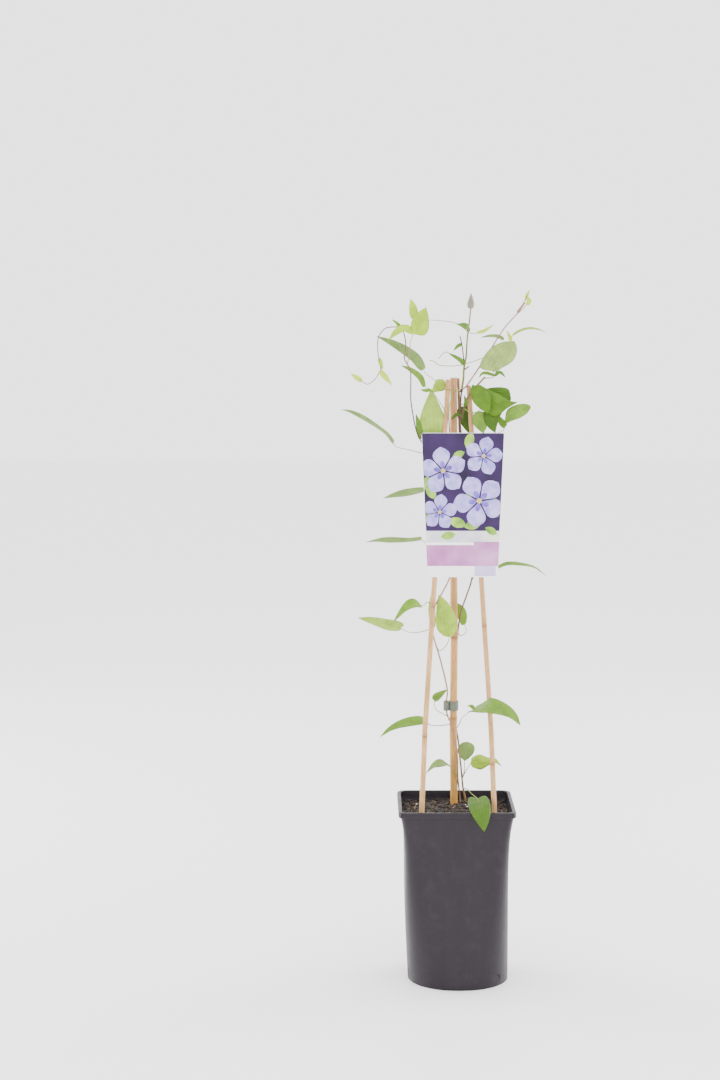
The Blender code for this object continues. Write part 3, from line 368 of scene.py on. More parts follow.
# %% Pot body
WALL_HEIGHTS = (8.0, 20.0, 40.0, 60.0, 80.0, 100.0, 120.0, 140.0, 160.0, 178.0, 190.0, 198.0, 203.0,
                POT_NECK_HEIGHT)
# Each step of a profile is how far the outline is drawn in, and its height
FOOT_PROFILE = ((0.8, 0.0), (0.2, 0.3), (0.0, 1.0))
RIM_OUTSIDE = ((1.4, POT_NECK_HEIGHT + 0.1), (0.4, POT_NECK_HEIGHT + 0.5), (0.0, POT_NECK_HEIGHT + 1.3),
               (0.0, POT_HEIGHT - 1.6), (0.3, POT_HEIGHT - 0.7), (0.9, POT_HEIGHT - 0.15),
               (1.5, POT_HEIGHT))
RIM_INSIDE = ((1.0, POT_HEIGHT), (1.5, POT_HEIGHT - 0.3), (1.8, POT_HEIGHT - 1.2))
FLOOR_ROUND = 0.6
DRAIN_RADIUS = 4.5
DRAIN_RING = 34.0
DRAIN_BELOW = 5.0
DRAIN_ABOVE = 4.0
DENT_RADIUS = 7.0
DENT_HEIGHT = 8.5
DENT_DEPTH = 0.75
DENT_AZIMUTHS = (46.0, 166.0, 286.0)


def wall_reach(angle, height):
    """How far the round part of the wall stands from the pot's middle in a direction."""
    corner = pot_corner(height)
    centre = pot_half(height) - corner
    along = centre * (abs(math.sin(angle)) + abs(math.cos(angle)))
    return along + math.sqrt(along ** 2 - 2.0 * centre ** 2 + corner ** 2)


rings = [rounded_square(POT_FOOT_HALF - inset, POT_FOOT_CORNER, height) for inset, height in FOOT_PROFILE]
rings += [wall_ring(height, 0.0) for height in WALL_HEIGHTS]
rings += [rounded_square(POT_RIM_HALF - inset, POT_RIM_CORNER, height) for inset, height in RIM_OUTSIDE]
neck_half = pot_half(POT_NECK_HEIGHT)
rings += [rounded_square(neck_half - inset, POT_TOP_CORNER, height) for inset, height in RIM_INSIDE]
rings += [wall_ring(height, POT_WALL) for height in reversed(WALL_HEIGHTS)]
rings.append(wall_ring(POT_FLOOR, POT_WALL + FLOOR_ROUND))
pot = new_object("pot_shell", loft(rings), pot_plastic)
cutters = []
for quarter in range(4):
    angle = math.radians(90.0 * quarter + 45.0)
    x, y = DRAIN_RING * math.cos(angle), DRAIN_RING * math.sin(angle)
    cutters.append(new_object("drain", round_bar("drain", (x, y, -DRAIN_BELOW),
                                                 (x, y, POT_FLOOR + DRAIN_ABOVE), DRAIN_RADIUS)))
for azimuth in DENT_AZIMUTHS:
    angle = math.radians(azimuth)
    out = Vector((math.sin(angle), -math.cos(angle), 0.0))
    skin = Vector((lean_at(DENT_HEIGHT), 0, DENT_HEIGHT)) + out * wall_reach(angle, DENT_HEIGHT)
    cutters.append(new_object("dent", round_bar("dent", skin - out * DENT_DEPTH, skin + out * DENT_RADIUS,
                                                DENT_RADIUS)))
piece(smooth(drill(pot, cutters), angle=32.0), "pot_plastic", "pot")

# %% Nubs inside the rim
NUB_RADIUS = 2.2
NUB_FOOT = 5.6
NUB_TOP = 0.9
NUB_INSET = 0.9
NUB_CORNERS = (0.0, 90.0)

reach = POT_RIM_HALF - POT_RIM_CORNER * (1.0 - math.sqrt(0.5)) - NUB_INSET
for quarter in NUB_CORNERS:
    corner = Matrix.Rotation(math.radians(quarter + 180.0), 2) @ Vector((reach, reach))
    lift = tip_at(corner.y, POT_HEIGHT)
    start, end = ((corner.x + POT_LEAN, corner.y, POT_HEIGHT - below + lift) for below in (NUB_FOOT, NUB_TOP))
    nub = new_object("rim_nub", round_bar("rim_nub", start, end, NUB_RADIUS), pot_plastic)
    piece(smooth(nub), "pot_plastic")

# %% [markdown]
# Potting soil: dark moist peat with crumbs, bark chips, root fibres and a few white perlite grains. The
# bed is a lofted plug with a lumpy top. The loose bits are scattered by Geometry Nodes: points on the
# top face, one small shape on each, turned and sized at random from a fixed seed.

# %% Peat, bark chips and perlite
PEAT_LUMP = 3.846
CHIP_MOTTLE = 2.0

peat, tree, shader = new_material("moist_peat", Roughness=0.95)
place = add_node(tree, "ShaderNodeTexCoord").outputs["Object"]
lumps = add_node(tree, "ShaderNodeTexNoise", {"Vector": place, "Scale": marks(PEAT_LUMP), "Detail": 6.0,
                                              "Roughness": 0.7})
earth = add_node(tree, "ShaderNodeValToRGB", {"Fac": lumps})
for stop, share, code in zip(earth.color_ramp.elements, (0.35, 0.68), ("#070402", "#312114")):
    stop.position = share
    stop.color = colour(code)
crumb = add_node(tree, "ShaderNodeBump", {"Height": lumps, "Strength": 0.9, "Distance": 0.0012})
plug(tree, earth, shader.inputs["Base Color"])
plug(tree, crumb, shader.inputs["Normal"])


def two_toned(name, dark, pale, width, detail=3.0, contrast=None, relief=None, **shader_values):
    """A finish of two tones, mixed by a soft noise whose marks have a width in mm.

    contrast, where given, is the part of the noise's range that is spread over the two tones, and
    relief is the strength and distance of a bump.
    """
    finish, tree, shader = new_material(name, **shader_values)
    cloud = add_node(tree, "ShaderNodeTexNoise", {
        "Vector": add_node(tree, "ShaderNodeTexCoord").outputs["Object"], "Scale": marks(width),
        "Detail": detail})
    if relief:
        bump = add_node(tree, "ShaderNodeBump", {"Height": cloud, "Strength": relief[0],
                                                 "Distance": relief[1]})
        plug(tree, bump, shader.inputs["Normal"])
    if contrast:
        cloud = add_node(tree, "ShaderNodeMapRange", {"Value": cloud, "From Min": contrast[0],
                                                      "From Max": contrast[1]})
    tone = add_node(tree, "ShaderNodeMix", {"Factor": cloud, "A": colour(dark), "B": colour(pale)},
                    data_type="RGBA")
    plug(tree, tone, shader.inputs["Base Color"])
    return finish


bark = two_toned("bark_chip", "#1c120b", "#54402c", CHIP_MOTTLE, Roughness=0.9)
fibre = two_toned("root_fibre", "#5d4630", "#8d7250", CHIP_MOTTLE, Roughness=0.85)
perlite = two_toned("expanded_perlite", "#c9c5bc", "#f4f2ec", CHIP_MOTTLE, Roughness=0.9)
print("finishes", ", ".join(finish.name for finish in (peat, bark, fibre, perlite)))

# %% Soil bed
SOIL_LEVEL = 203.0
SOIL_LUMP = 1.6
CLOD_HEIGHT = 1.1
CLOD_SCALE = 0.14
CRUMB_HEIGHT = 0.7
CRUMB_SCALE = 0.4
SOIL_GAP = 0.3
SOIL_SIDE_TOP = 180.0
EDGE_DEPTH = 4.0
EDGE_DIP = 1.5
DIP_POWER = 8
BED_SHARES = 26
BED_SPAN = 0.97


def soil_height(x, y):
    """The lumpy top of the soil: the CAD's long ripples and finer noise on them."""
    ripples = (math.sin(0.11 * x + 0.7) * math.cos(0.09 * y - 0.4)
               + 0.6 * math.sin(0.23 * x - 0.19 * y + 1.1)
               + 0.4 * math.cos(0.31 * y + 0.27 * x))
    fine = (CLOD_HEIGHT * noise.noise(Vector((x, y, 0)) * CLOD_SCALE)
            + CRUMB_HEIGHT * noise.noise(Vector((x, y, 9)) * CRUMB_SCALE))
    return SOIL_LEVEL + SOIL_LUMP * ripples / 2.0 + fine + tip_at(y, SOIL_LEVEL)


def soil_ring(edge, share, dip=0.0):
    """The soil's edge drawn in to a share of its size and laid on the lumpy top, less a dip at the wall."""
    return [(x * share, y * share, soil_height(x * share, y * share) - dip * share ** DIP_POWER)
            for x, y, _ in edge]


inset = POT_WALL + SOIL_GAP
soil_edge = wall_ring(SOIL_LEVEL - EDGE_DEPTH, inset)
rings = [wall_ring(POT_FLOOR + SOIL_GAP, inset + FLOOR_ROUND)]
rings += [wall_ring(height, inset) for height in WALL_HEIGHTS if height < SOIL_SIDE_TOP]
rings += [soil_ring(soil_edge, 1.0 - BED_SPAN * step / (BED_SHARES - 1), EDGE_DIP)
          for step in range(BED_SHARES)]
soil = new_object("soil_bed", loft(rings), peat)
piece(smooth(soil, angle=60.0), "soil", "soil")

# %% Tree that scatters loose bits
LUMP_NOISE = 1.7
TUMBLE = 0.6
SPIN = 6.28


def new_tree(name, **inputs):
    """An empty geometry tree that takes a mesh and the named inputs and gives geometry back."""
    tree = bpy.data.node_groups.new(name, "GeometryNodeTree")
    tree.interface.new_socket("Geometry", in_out="INPUT", socket_type="NodeSocketGeometry")
    for key, kind in inputs.items():
        tree.interface.new_socket(key.replace("_", " "), in_out="INPUT", socket_type="NodeSocket" + kind)
    tree.interface.new_socket("Geometry", in_out="OUTPUT", socket_type="NodeSocketGeometry")
    return tree, add_node(tree, "NodeGroupInput").outputs


def run_tree(thing, tree, **values):
    """Puts a tree on an object, sets its named inputs by their identifiers, and bakes the result."""
    work = thing.modifiers.new(tree.name, "NODES")
    work.node_group = tree
    for item in tree.interface.items_tree:
        if item.in_out == "INPUT" and item.name.replace(" ", "_") in values:
            work[item.identifier] = values[item.name.replace(" ", "_")]
    return bake(thing)


scatter, given = new_tree("scatter bits on soil", Per_Square_Metre="Float", Smallest="Float", Largest="Float",
                          Flatness="Float", Length="Float", Seed="Int", Finish="Material")
dots = add_node(scatter, "GeometryNodeDistributePointsOnFaces", {
    "Mesh": given["Geometry"], "Density": given["Per Square Metre"], "Seed": given["Seed"]})
lump = add_node(scatter, "GeometryNodeMeshIcoSphere", {"Radius": 1.0, "Subdivisions": 2})
jitter = add_node(scatter, "ShaderNodeTexNoise", {"Scale": LUMP_NOISE, "Detail": 1.0})
push = add_node(scatter, "ShaderNodeVectorMath", {0: jitter.outputs["Color"], 1: (0.5, 0.5, 0.5)},
                operation="SUBTRACT")
rough_lump = add_node(scatter, "GeometryNodeSetPosition", {"Geometry": lump, "Offset": push})
squash = add_node(scatter, "ShaderNodeCombineXYZ", {"X": given["Length"], "Y": 1.0, "Z": given["Flatness"]})
shaped = add_node(scatter, "GeometryNodeTransform", {"Geometry": rough_lump, "Scale": squash})
size = add_node(scatter, "FunctionNodeRandomValue", {"Min": given["Smallest"], "Max": given["Largest"],
                                                     "Seed": given["Seed"]}, data_type="FLOAT")
spin = add_node(scatter, "FunctionNodeRandomValue", {
    "Min": (-TUMBLE, -TUMBLE, 0.0), "Max": (TUMBLE, TUMBLE, SPIN), "Seed": given["Seed"]},
    data_type="FLOAT_VECTOR")
bits = add_node(scatter, "GeometryNodeInstanceOnPoints", {
    "Points": dots.outputs["Points"], "Instance": shaped, "Rotation": spin, "Scale": size})
real = add_node(scatter, "GeometryNodeRealizeInstances", {"Geometry": bits})
soft = add_node(scatter, "GeometryNodeSetShadeSmooth", {"Geometry": real})
dressed = add_node(scatter, "GeometryNodeSetMaterial", {"Geometry": soft, "Material": given["Finish"]})
add_node(scatter, "NodeGroupOutput", {"Geometry": dressed})
print("tree", scatter.name)

# %% Loose bits on the soil
SCATTER_RINGS = 12
SCATTER_OUTER = 0.97
SCATTER_SPAN = 0.92
# Name, finish, number per square metre, smallest and largest radius in mm, flatness, length, seed
LOOSE_BITS = (
    ("soil_crumbs", peat, 30000.0, 0.8, 2.7, 0.8, 1.2, 3),
    ("soil_bark", bark, 7000.0, 0.7, 1.9, 0.6, 1.4, 5),
    ("soil_fibres", fibre, 6000.0, 0.35, 0.7, 0.4, 7.0, 8),
    ("soil_perlite", perlite, 330.0, 0.8, 1.5, 0.8, 1.1, 13),
)


def soil_top(name):
    """A mesh of the soil's top, a little inside the pot's wall, for bits to lie on."""
    shape = bmesh.new()
    levels = []
    for step in range(SCATTER_RINGS):
        share = SCATTER_OUTER - SCATTER_SPAN * step / (SCATTER_RINGS - 1)
        levels.append([shape.verts.new(mm(place)) for place in soil_ring(soil_edge, share)])
    for outer, inner in zip(levels, levels[1:]):
        bridge(shape, outer, inner)
    return mesh_from(shape, name)


for name, finish, per_square_metre, smallest, largest, flatness, length, seed in LOOSE_BITS:
    thing = new_object(name, soil_top(name))
    run_tree(thing, scatter, Per_Square_Metre=per_square_metre, Smallest=smallest * MM, Largest=largest * MM,
             Flatness=flatness, Length=length, Seed=seed, Finish=finish)
    piece(thing, "soil")

# %% [markdown]
# Canes: thin tonkin bamboo, washed and dried, so the skin is tan with long fine fibres and a darker ring
# at each swollen joint. A cylinder could not carry the joints, so a cane is a path with a thickness at
# each point, and one small Geometry Nodes tree sweeps a circle along every such path. The plant's stems
# use the same tree.

# %% Round stems from paths
round_path, given = new_tree("round stem along a path", Sides="Int", Finish="Material")
paths = add_node(round_path, "GeometryNodeMeshToCurve", {"Mesh": given["Geometry"]})
thick = add_node(round_path, "GeometryNodeInputNamedAttribute", {"Name": "thickness"}, data_type="FLOAT")
ring = add_node(round_path, "GeometryNodeCurvePrimitiveCircle", {"Resolution": given["Sides"], "Radius": 1.0})
swept = add_node(round_path, "GeometryNodeCurveToMesh", {
    "Curve": paths, "Profile Curve": ring, "Scale": thick, "Fill Caps": True})
whole = add_node(round_path, "GeometryNodeRealizeInstances", {"Geometry": swept})
dressed = add_node(round_path, "GeometryNodeSetMaterial", {"Geometry": whole, "Material": given["Finish"]})
add_node(round_path, "NodeGroupOutput", {"Geometry": dressed})
print("tree", round_path.name)


def sweep_paths(name, runs, finish, sides, angle=45.0):
    """One mesh of round stems. Each run is a list of (place in mm, radius in mm, colour)."""
    mesh = bpy.data.meshes.new(name)
    places, edges, radii, tints = [], [], [], []
    for run in runs:
        start = len(places)
        for place, radius, tint in run:
            places.append(mm(place))
            radii.append(radius * MM)
            tints.append(tint)
        edges += [(i, i + 1) for i in range(start, len(places) - 1)]
    mesh.from_pydata(places, edges, [])
    mesh.attributes.new("thickness", "FLOAT", "POINT").data.foreach_set("value", radii)
    flat = [channel for tint in tints for channel in tint]
    mesh.attributes.new("tint", "FLOAT_COLOR", "POINT").data.foreach_set("color", flat)
    thing = run_tree(new_object(name, mesh), round_path, Sides=sides, Finish=finish)
    return smooth(thing, angle)


def blend(first, last, share):
    """A colour some share of the way from one to another."""
    return [a + (b - a) * share for a, b in zip(first, last)]


# %% Bamboo cane skin
FIBRE_WIDTH = 0.7143
FIBRE_LENGTH = 45.45
WORN_PATCH = 26.32

bamboo, tree, shader = new_material("dried_tonkin_bamboo", Roughness=0.5, Specular_IOR_Level=0.3)
place = add_node(tree, "ShaderNodeTexCoord").outputs["Object"]
tint = add_node(tree, "ShaderNodeAttribute", attribute_name="tint")
along = add_node(tree, "ShaderNodeMapping", {
    "Vector": place, "Scale": (marks(FIBRE_WIDTH), marks(FIBRE_WIDTH), marks(FIBRE_LENGTH))})
fibres = add_node(tree, "ShaderNodeTexNoise", {"Vector": along, "Scale": 1.0, "Detail": 4.0,
                                               "Roughness": 0.6})
blotch = add_node(tree, "ShaderNodeTexNoise", {"Vector": place, "Scale": marks(WORN_PATCH), "Detail": 4.0})
worn = add_node(tree, "ShaderNodeMapRange", {"Value": blotch, "From Min": 0.45, "From Max": 0.7,
                                             "To Max": 0.5})
streaked = add_node(tree, "ShaderNodeMapRange", {"Value": fibres, "From Min": 0.38, "From Max": 0.72})
fine = add_node(tree, "ShaderNodeMix", {"Factor": streaked, "A": colour("#ffffff"), "B": colour("#c9a27a")},
                data_type="RGBA")
skin = add_node(tree, "ShaderNodeMix", {"Factor": 1.0, "A": tint.outputs["Color"], "B": fine},
                data_type="RGBA", blend_type="MULTIPLY")
aged = add_node(tree, "ShaderNodeMix", {"Factor": worn, "A": skin, "B": colour("#99703f")}, data_type="RGBA")
ridges = add_node(tree, "ShaderNodeBump", {"Height": fibres, "Strength": 0.35, "Distance": 0.0003})
plug(tree, aged, shader.inputs["Base Color"])
plug(tree, ridges, shader.inputs["Normal"])
print("finish", bamboo.name)

# %% Three canes
CANE_BOTTOM = 118.0
CANE_SIDES = 20
LEVEL_START = 140
LEVEL_STEP = 20
TOP_CLEAR = 5
NODE_SWELL = 1.07
JOINT_BELOW = 9.5
JOINT_ABOVE = 12.5
JOINT_DARK = 0.75
JOINT_TINT = "#7a4a26"
TOP_SLANT = 0.45
CUT_DEPTH = 2.0
# Places on the axis, radius at the foot and the head, heights of the joints, tint at the foot and the head
CANES = {
    "cane_left": (((-44.5, -40, 211), (-41, -33.5, 307.5), (-30.5, -21, 476), (-14.5, -5, 716)),
                  3.2, 3.0, (300, 452), "#dab87c", "#c3996c"),
    "cane_right": (((40.5, -40.5, 211.5), (36.5, -33.5, 307.5), (25, -21.5, 476), (9, -5.5, 710.5)),
                   3.1, 2.8, (268, 430), "#d6b47a", "#b58a5e"),
    "cane_middle": (((-4, 34, 207.5), (-5.5, 29.5, 300.5), (-5, 24.5, 404.5), (-6, 21, 469.5),
                     (-8, 5, 717)),
                    4.5, 4.1, (309, 408, 560), "#c59a4a", "#bd9366"),
}
# Height from the joint, swelling of the radius, share of the joint's dark tint
JOINT_PROFILE = ((-9.0, 1.0, 0.0), (-3.5, 1.0, 0.15), (-1.2, NODE_SWELL, 0.55), (-0.3, 1.0, 1.0),
                 (0.4, 1.02, 1.0), (1.2, NODE_SWELL, 0.5), (3.5, 0.98, 0.25), (12.0, 1.0, 0.0))


def cane_point(spec, height):
    """The point on a cane's axis at a height; the cane bends a little at each of its places."""
    places = [Vector(p) for p in spec[0]]
    span = sum(height > place.z for place in places[1:-1])
    low, high = places[span], places[span + 1]
    return low + (high - low) * ((height - low.z) / (high.z - low.z))


def cane_run(spec):
    """A cane's path with the swelling and the dark ring of each joint."""
    places, thick, thin, joints, low_tint, high_tint = spec
    top = places[-1][2]
    levels = {CANE_BOTTOM: (1.0, 0.0), top: (1.0, 0.0)}
    for height in range(LEVEL_START, int(top) - TOP_CLEAR, LEVEL_STEP):
        levels[float(height)] = (1.0, 0.0)
    for joint in joints:
        levels = {h: v for h, v in levels.items() if not joint - JOINT_BELOW < h < joint + JOINT_ABOVE}
        for offset, swell, dark in JOINT_PROFILE:
            levels[joint + offset] = (swell, dark)
    run = []
    for height in sorted(levels):
        swell, dark = levels[height]
        share = (height - CANE_BOTTOM) / (top - CANE_BOTTOM)
        shade = blend(colour(low_tint), colour(high_tint), share)
        shade = blend(shade, colour(JOINT_TINT), JOINT_DARK * dark)
        run.append((cane_point(spec, height), (thick + (thin - thick) * share) * swell, shade))
    return run


for name, spec in CANES.items():
    cane = sweep_paths(name + "_bamboo", [cane_run(spec)], bamboo, CANE_SIDES)
    if name == "cane_right":
        # The right cane's head is cut at a slant
        top = spec[0][-1]
        for vertex in cane.data.vertices:
            if vertex.co.z > (top[2] - CUT_DEPTH) * MM:
                vertex.co.z -= TOP_SLANT * max(vertex.co.x - (top[0] - spec[2]) * MM, 0.0)
    piece(cane, "bamboo", name)

# %% [markdown]
# Leaves: a clematis leaf is a thin soft blade with a waxy skin, sunken main veins that run in arcs from
# the stalk to the tip, and a paler matt underside. Its UV map runs across and along the blade, so the
# veins follow its shape, and a colour attribute carries each leaf's own green on its two sides. The real
# net of small veins is finer than a pixel here, so it is drawn coarser than it is.

# %% Living leaf and stem finishes
VEIN_GAP = 1.0 / 3.0
VEIN_WIDTH = 0.035
SIDE_VEIN_GAP = 0.1
SIDE_VEIN_WIDTH = 0.012
SIDE_VEIN_SLANT = 0.55
LEAF_MOTTLE = 10.526
LEAF_NET = 1.5385
STEM_MOTTLE = 6.25
STEM_FURROW = 0.5556

leaf_skin, tree, shader = new_material("waxy_leaf_blade", Roughness=0.5, Specular_IOR_Level=0.2,
                                       Subsurface_Weight=0.06, Subsurface_Radius=(0.6, 1.0, 0.2),
                                       Subsurface_Scale=0.0015)
place = add_node(tree, "ShaderNodeTexCoord").outputs["Object"]
blade_map = add_node(tree, "ShaderNodeUVMap", uv_map="blade")
tint = add_node(tree, "ShaderNodeAttribute", attribute_name="tint")
apart = add_node(tree, "ShaderNodeSeparateXYZ", {"Vector": blade_map})
centred = add_node(tree, "ShaderNodeMath", {0: apart.outputs["X"], 1: 2.0, 2: -1.0}, operation="MULTIPLY_ADD")
across = add_node(tree, "ShaderNodeMath", {0: centred}, operation="ABSOLUTE")
main_wave = add_node(tree, "ShaderNodeMath", {0: across, 1: VEIN_GAP / 2.0}, operation="PINGPONG")
main_vein = add_node(tree, "ShaderNodeMapRange", {"Value": main_wave, "From Min": 0.0, "From Max": VEIN_WIDTH,
                                                  "To Min": 1.0, "To Max": 0.0})
slant = add_node(tree, "ShaderNodeMath", {0: across, 1: -SIDE_VEIN_SLANT, 2: apart.outputs["Y"]},
                 operation="MULTIPLY_ADD")
side_wave = add_node(tree, "ShaderNodeMath", {0: slant, 1: SIDE_VEIN_GAP / 2.0}, operation="PINGPONG")
side_vein = add_node(tree, "ShaderNodeMapRange", {"Value": side_wave, "From Min": 0.0,
                                                  "From Max": SIDE_VEIN_WIDTH, "To Min": 0.5, "To Max": 0.0})
veins = add_node(tree, "ShaderNodeMath", {0: main_vein, 1: side_vein}, operation="MAXIMUM")
blotch = add_node(tree, "ShaderNodeTexNoise", {"Vector": place, "Scale": marks(LEAF_MOTTLE), "Detail": 5.0,
                                               "Roughness": 0.6})
mottle = add_node(tree, "ShaderNodeMapRange", {"Value": blotch, "From Min": 0.3, "From Max": 0.7,
                                               "To Min": 0.74, "To Max": 1.2})
lit = add_node(tree, "ShaderNodeHueSaturation", {"Color": tint.outputs["Color"], "Value": mottle})
vein_tint = add_node(tree, "ShaderNodeHueSaturation", {"Color": lit, "Value": 1.45, "Saturation": 0.78})
vein_share = add_node(tree, "ShaderNodeMath", {0: veins, 1: 0.45}, operation="MULTIPLY")
veined = add_node(tree, "ShaderNodeMix", {"Factor": vein_share, "A": lit, "B": vein_tint}, data_type="RGBA")
net = add_node(tree, "ShaderNodeTexVoronoi", {"Vector": place, "Scale": marks(LEAF_NET)},
               feature="DISTANCE_TO_EDGE")
height = add_node(tree, "ShaderNodeMath", {0: veins, 1: -1.0, 2: net}, operation="MULTIPLY_ADD")
bump = add_node(tree, "ShaderNodeBump", {"Height": height, "Strength": 0.25, "Distance": 0.00008})
plug(tree, veined, shader.inputs["Base Color"])
plug(tree, bump, shader.inputs["Normal"])

stem_skin, tree, shader = new_material("soft_green_wood", Roughness=0.6, Specular_IOR_Level=0.25,
                                       Subsurface_Weight=0.05, Subsurface_Radius=(0.8, 1.0, 0.4),
                                       Subsurface_Scale=0.001)
place = add_node(tree, "ShaderNodeTexCoord").outputs["Object"]
tint = add_node(tree, "ShaderNodeAttribute", attribute_name="tint")
blotch = add_node(tree, "ShaderNodeTexNoise", {"Vector": place, "Scale": marks(STEM_MOTTLE), "Detail": 4.0})
shade = add_node(tree, "ShaderNodeMapRange", {"Value": blotch, "From Min": 0.3, "From Max": 0.7,
                                              "To Min": 0.75, "To Max": 1.2})
barky = add_node(tree, "ShaderNodeHueSaturation", {"Color": tint.outputs["Color"], "Value": shade})
furrow = add_node(tree, "ShaderNodeTexNoise", {"Vector": place, "Scale": marks(STEM_FURROW), "Detail": 2.0})
bump = add_node(tree, "ShaderNodeBump", {"Height": furrow, "Strength": 0.3, "Distance": 0.0003})
plug(tree, barky, shader.inputs["Base Color"])
plug(tree, bump, shader.inputs["Normal"])

# The shade green is painted shade: a darker green for the leaves behind and across the middle cane, where the
# canes shade them
GREENS = {
    "young": "#97b51c", "lime": "#b2c828", "curl": "#8fae2c", "fresh": "#648818", "soft": "#5f8022",
    "mature": "#52741a", "deep": "#3f5f06", "night": "#355200", "dense": "#486a00", "shade": "#3a5410",
    "grey": "#6a8340", "pale": "#8aa63a", "silver": "#84994e", "olive": "#6a6a28", "tan": "#8a6c48",
    "pink": "#96705e", "stalk": "#7f9040", "brown": "#4a3222",
}
print(len(GREENS), "greens and browns")

# %% [markdown]
# A stem could be one curve object with a bevel, but the canes' tree already sweeps a circle along any
# path with its own thickness and colour, so a stem is only a list of places along a smooth curve.

# %% Curves and stems
STEM = 0.95
STEM_STEP = 3.0
LEAST_STEPS = 4


def curve_point(points, place):
    """A place along a smooth Catmull-Rom curve through points; place runs from 0 to 1."""
    spans = len(points) - 1
    span = min(int(place * spans), spans - 1)
    t = place * spans - span
    before = points[span - 1] if span else points[0] * 2 - points[1]
    start, end = points[span], points[span + 1]
    after = points[span + 2] if span + 2 <= spans else points[-1] * 2 - points[-2]
    return 0.5 * (2 * start + (end - before) * t
                  + (2 * before - 5 * start + 4 * end - after) * t * t
                  + (3 * start - before - 3 * end + after) * t ** 3)


def path_length(points):
    """The length of the straight runs between points."""
    return sum((b - a).length for a, b in zip(points, points[1:]))


def stem(points, radius=STEM, end_radius=None, tint="olive", end_tint=None):
    """One stem's path: places, radii and colours every 3 mm or so along a smooth curve."""
    points = [Vector(p) for p in points]
    end_radius = radius if end_radius is None else end_radius
    first, last = colour(GREENS[tint]), colour(GREENS[end_tint or tint])
    count = max(LEAST_STEPS, round(path_length(points) / STEM_STEP))
    run = []
    for i in range(count + 1):
        share = i / count
        run.append((curve_point(points, share), radius + (end_radius - radius) * share,
                    blend(first, last, share)))
    return "stem", run


# %% [markdown]
# A blade could be a flat picture of a leaf, but it would have no edge from the side. Here each blade is
# a closed grid along its own midrib: the upper sheet, the lower sheet and a shared thin edge. A formula
# gives most outlines, and the leaves seen face on have margins of their own.

# %% Leaf blades
STALK = 0.6
STALK_TAPER = 0.45
STALK_RUN = (0.12, 0.3)
BLADE = 0.5
BLADE_THINNING = 0.6
TIP_HALF = 0.25
BASE_START = 0.004
ROW_CROWDING = 1.5
SLOPE_STEP = 0.02
BLADE_ROWS = 20
HALF_COLUMNS = 6
LOBE_REACH = 1.4
RUFFLE_TURNS = 9.0
QUILT_HEIGHT = 0.022
QUILT_RIDGES = 3.0
SMALL_LOBE = 0.02
UNDERSIDE = "grey"


def blade_width(place, peak):
    """The blade's width at a place along its midrib, as a share of the widest."""
    reach = BASE_START + (1.0 - BASE_START) * place
    power = peak / (1.0 - peak)
    highest = peak ** power * (1.0 - peak)
    return reach ** power * (1.0 - reach) / highest


def row_place(row):
    """Where a row of the blade's grid lies; the rows crowd at the stalk, where the outline turns fast."""
    return (row / BLADE_ROWS) ** ROW_CROWDING


def leaf(points, half_width, face=(0, -1, 0.2), lobe=0.12, fold=0.18, wave=0.06, peak=0.32,
         tint="mature", left=None, right=None):
    """One closed leaf blade along a midrib, from stalk to tip.

    face is where the upper side looks, lobe sets how far the base lobes reach back, fold lifts the
    edges and wave ruffles them. left and right, where given, are points along the two margins.
    """
    spine = [Vector(p) for p in points]
    margins = [[Vector(p) for p in side] if side else None for side in (right, left)]
    length = path_length(spine)
    middle, lift_way = [], []
    for row in range(BLADE_ROWS + 1):
        place = row_place(row)
        spread = blade_width(place, peak)
        for column in range(2 * HALF_COLUMNS + 1):
            across = column / HALF_COLUMNS - 1.0
            width = half_width * spread + TIP_HALF * place
            reach = place - LOBE_REACH * lobe * abs(across) * spread * (1.0 - place) ** 3
            centre = curve_point(spine, min(max(reach, 0.0), 1.0))
            behind = min(max(reach, 0.0), 1.0 - SLOPE_STEP)
            along = (curve_point(spine, behind + SLOPE_STEP) - curve_point(spine, behind)).normalized()
            if reach < 0.0:
                centre = centre + along * reach * length
            side = Vector(face).cross(along).normalized()
            upper = along.cross(side).normalized()
            ruffle = wave * math.sin(RUFFLE_TURNS * place + half_width) * across ** 2
            lift = fold * abs(across) + ruffle * (1 if across > 0 else -1)
            quilt = (QUILT_HEIGHT * half_width * math.sin(QUILT_RIDGES * math.pi * abs(across)) ** 2
                     * math.sin(math.pi * place))
            margin = margins[1 if across > 0 else 0]
            if margin:
                rib = curve_point(spine, place)
                flat = rib + (curve_point(margin, place) - rib) * abs(across)
                bulge = fold * width * abs(across) * (1.0 - abs(across))
                middle.append(flat + upper * (quilt + bulge))
            else:
                middle.append(centre + side * across * width + upper * (lift * width + quilt))
            lift_way.append(upper)
    return "blade", middle, lift_way, tint


def leaflet(points, half_width, face, tint):
    """A small young leaf, which has hardly any lobes at its base."""
    return leaf(points, half_width, face=face, lobe=SMALL_LOBE, tint=tint)


def sprig(stalk, midrib, half_width, radius=STALK, stalk_tint="stalk", **blade):
    """A leaf on its stalk: the stalk runs on into the blade along its midrib."""
    ribs = [Vector(p) for p in midrib]
    points = [Vector(p) for p in stalk] + [ribs[0]] + [curve_point(ribs, place) for place in STALK_RUN]
    return [stem(points, radius, radius * STALK_TAPER, stalk_tint), leaf(midrib, half_width, **blade)]


# %% Meshes of a shoot's leaves and stems
STEM_SIDES = 8


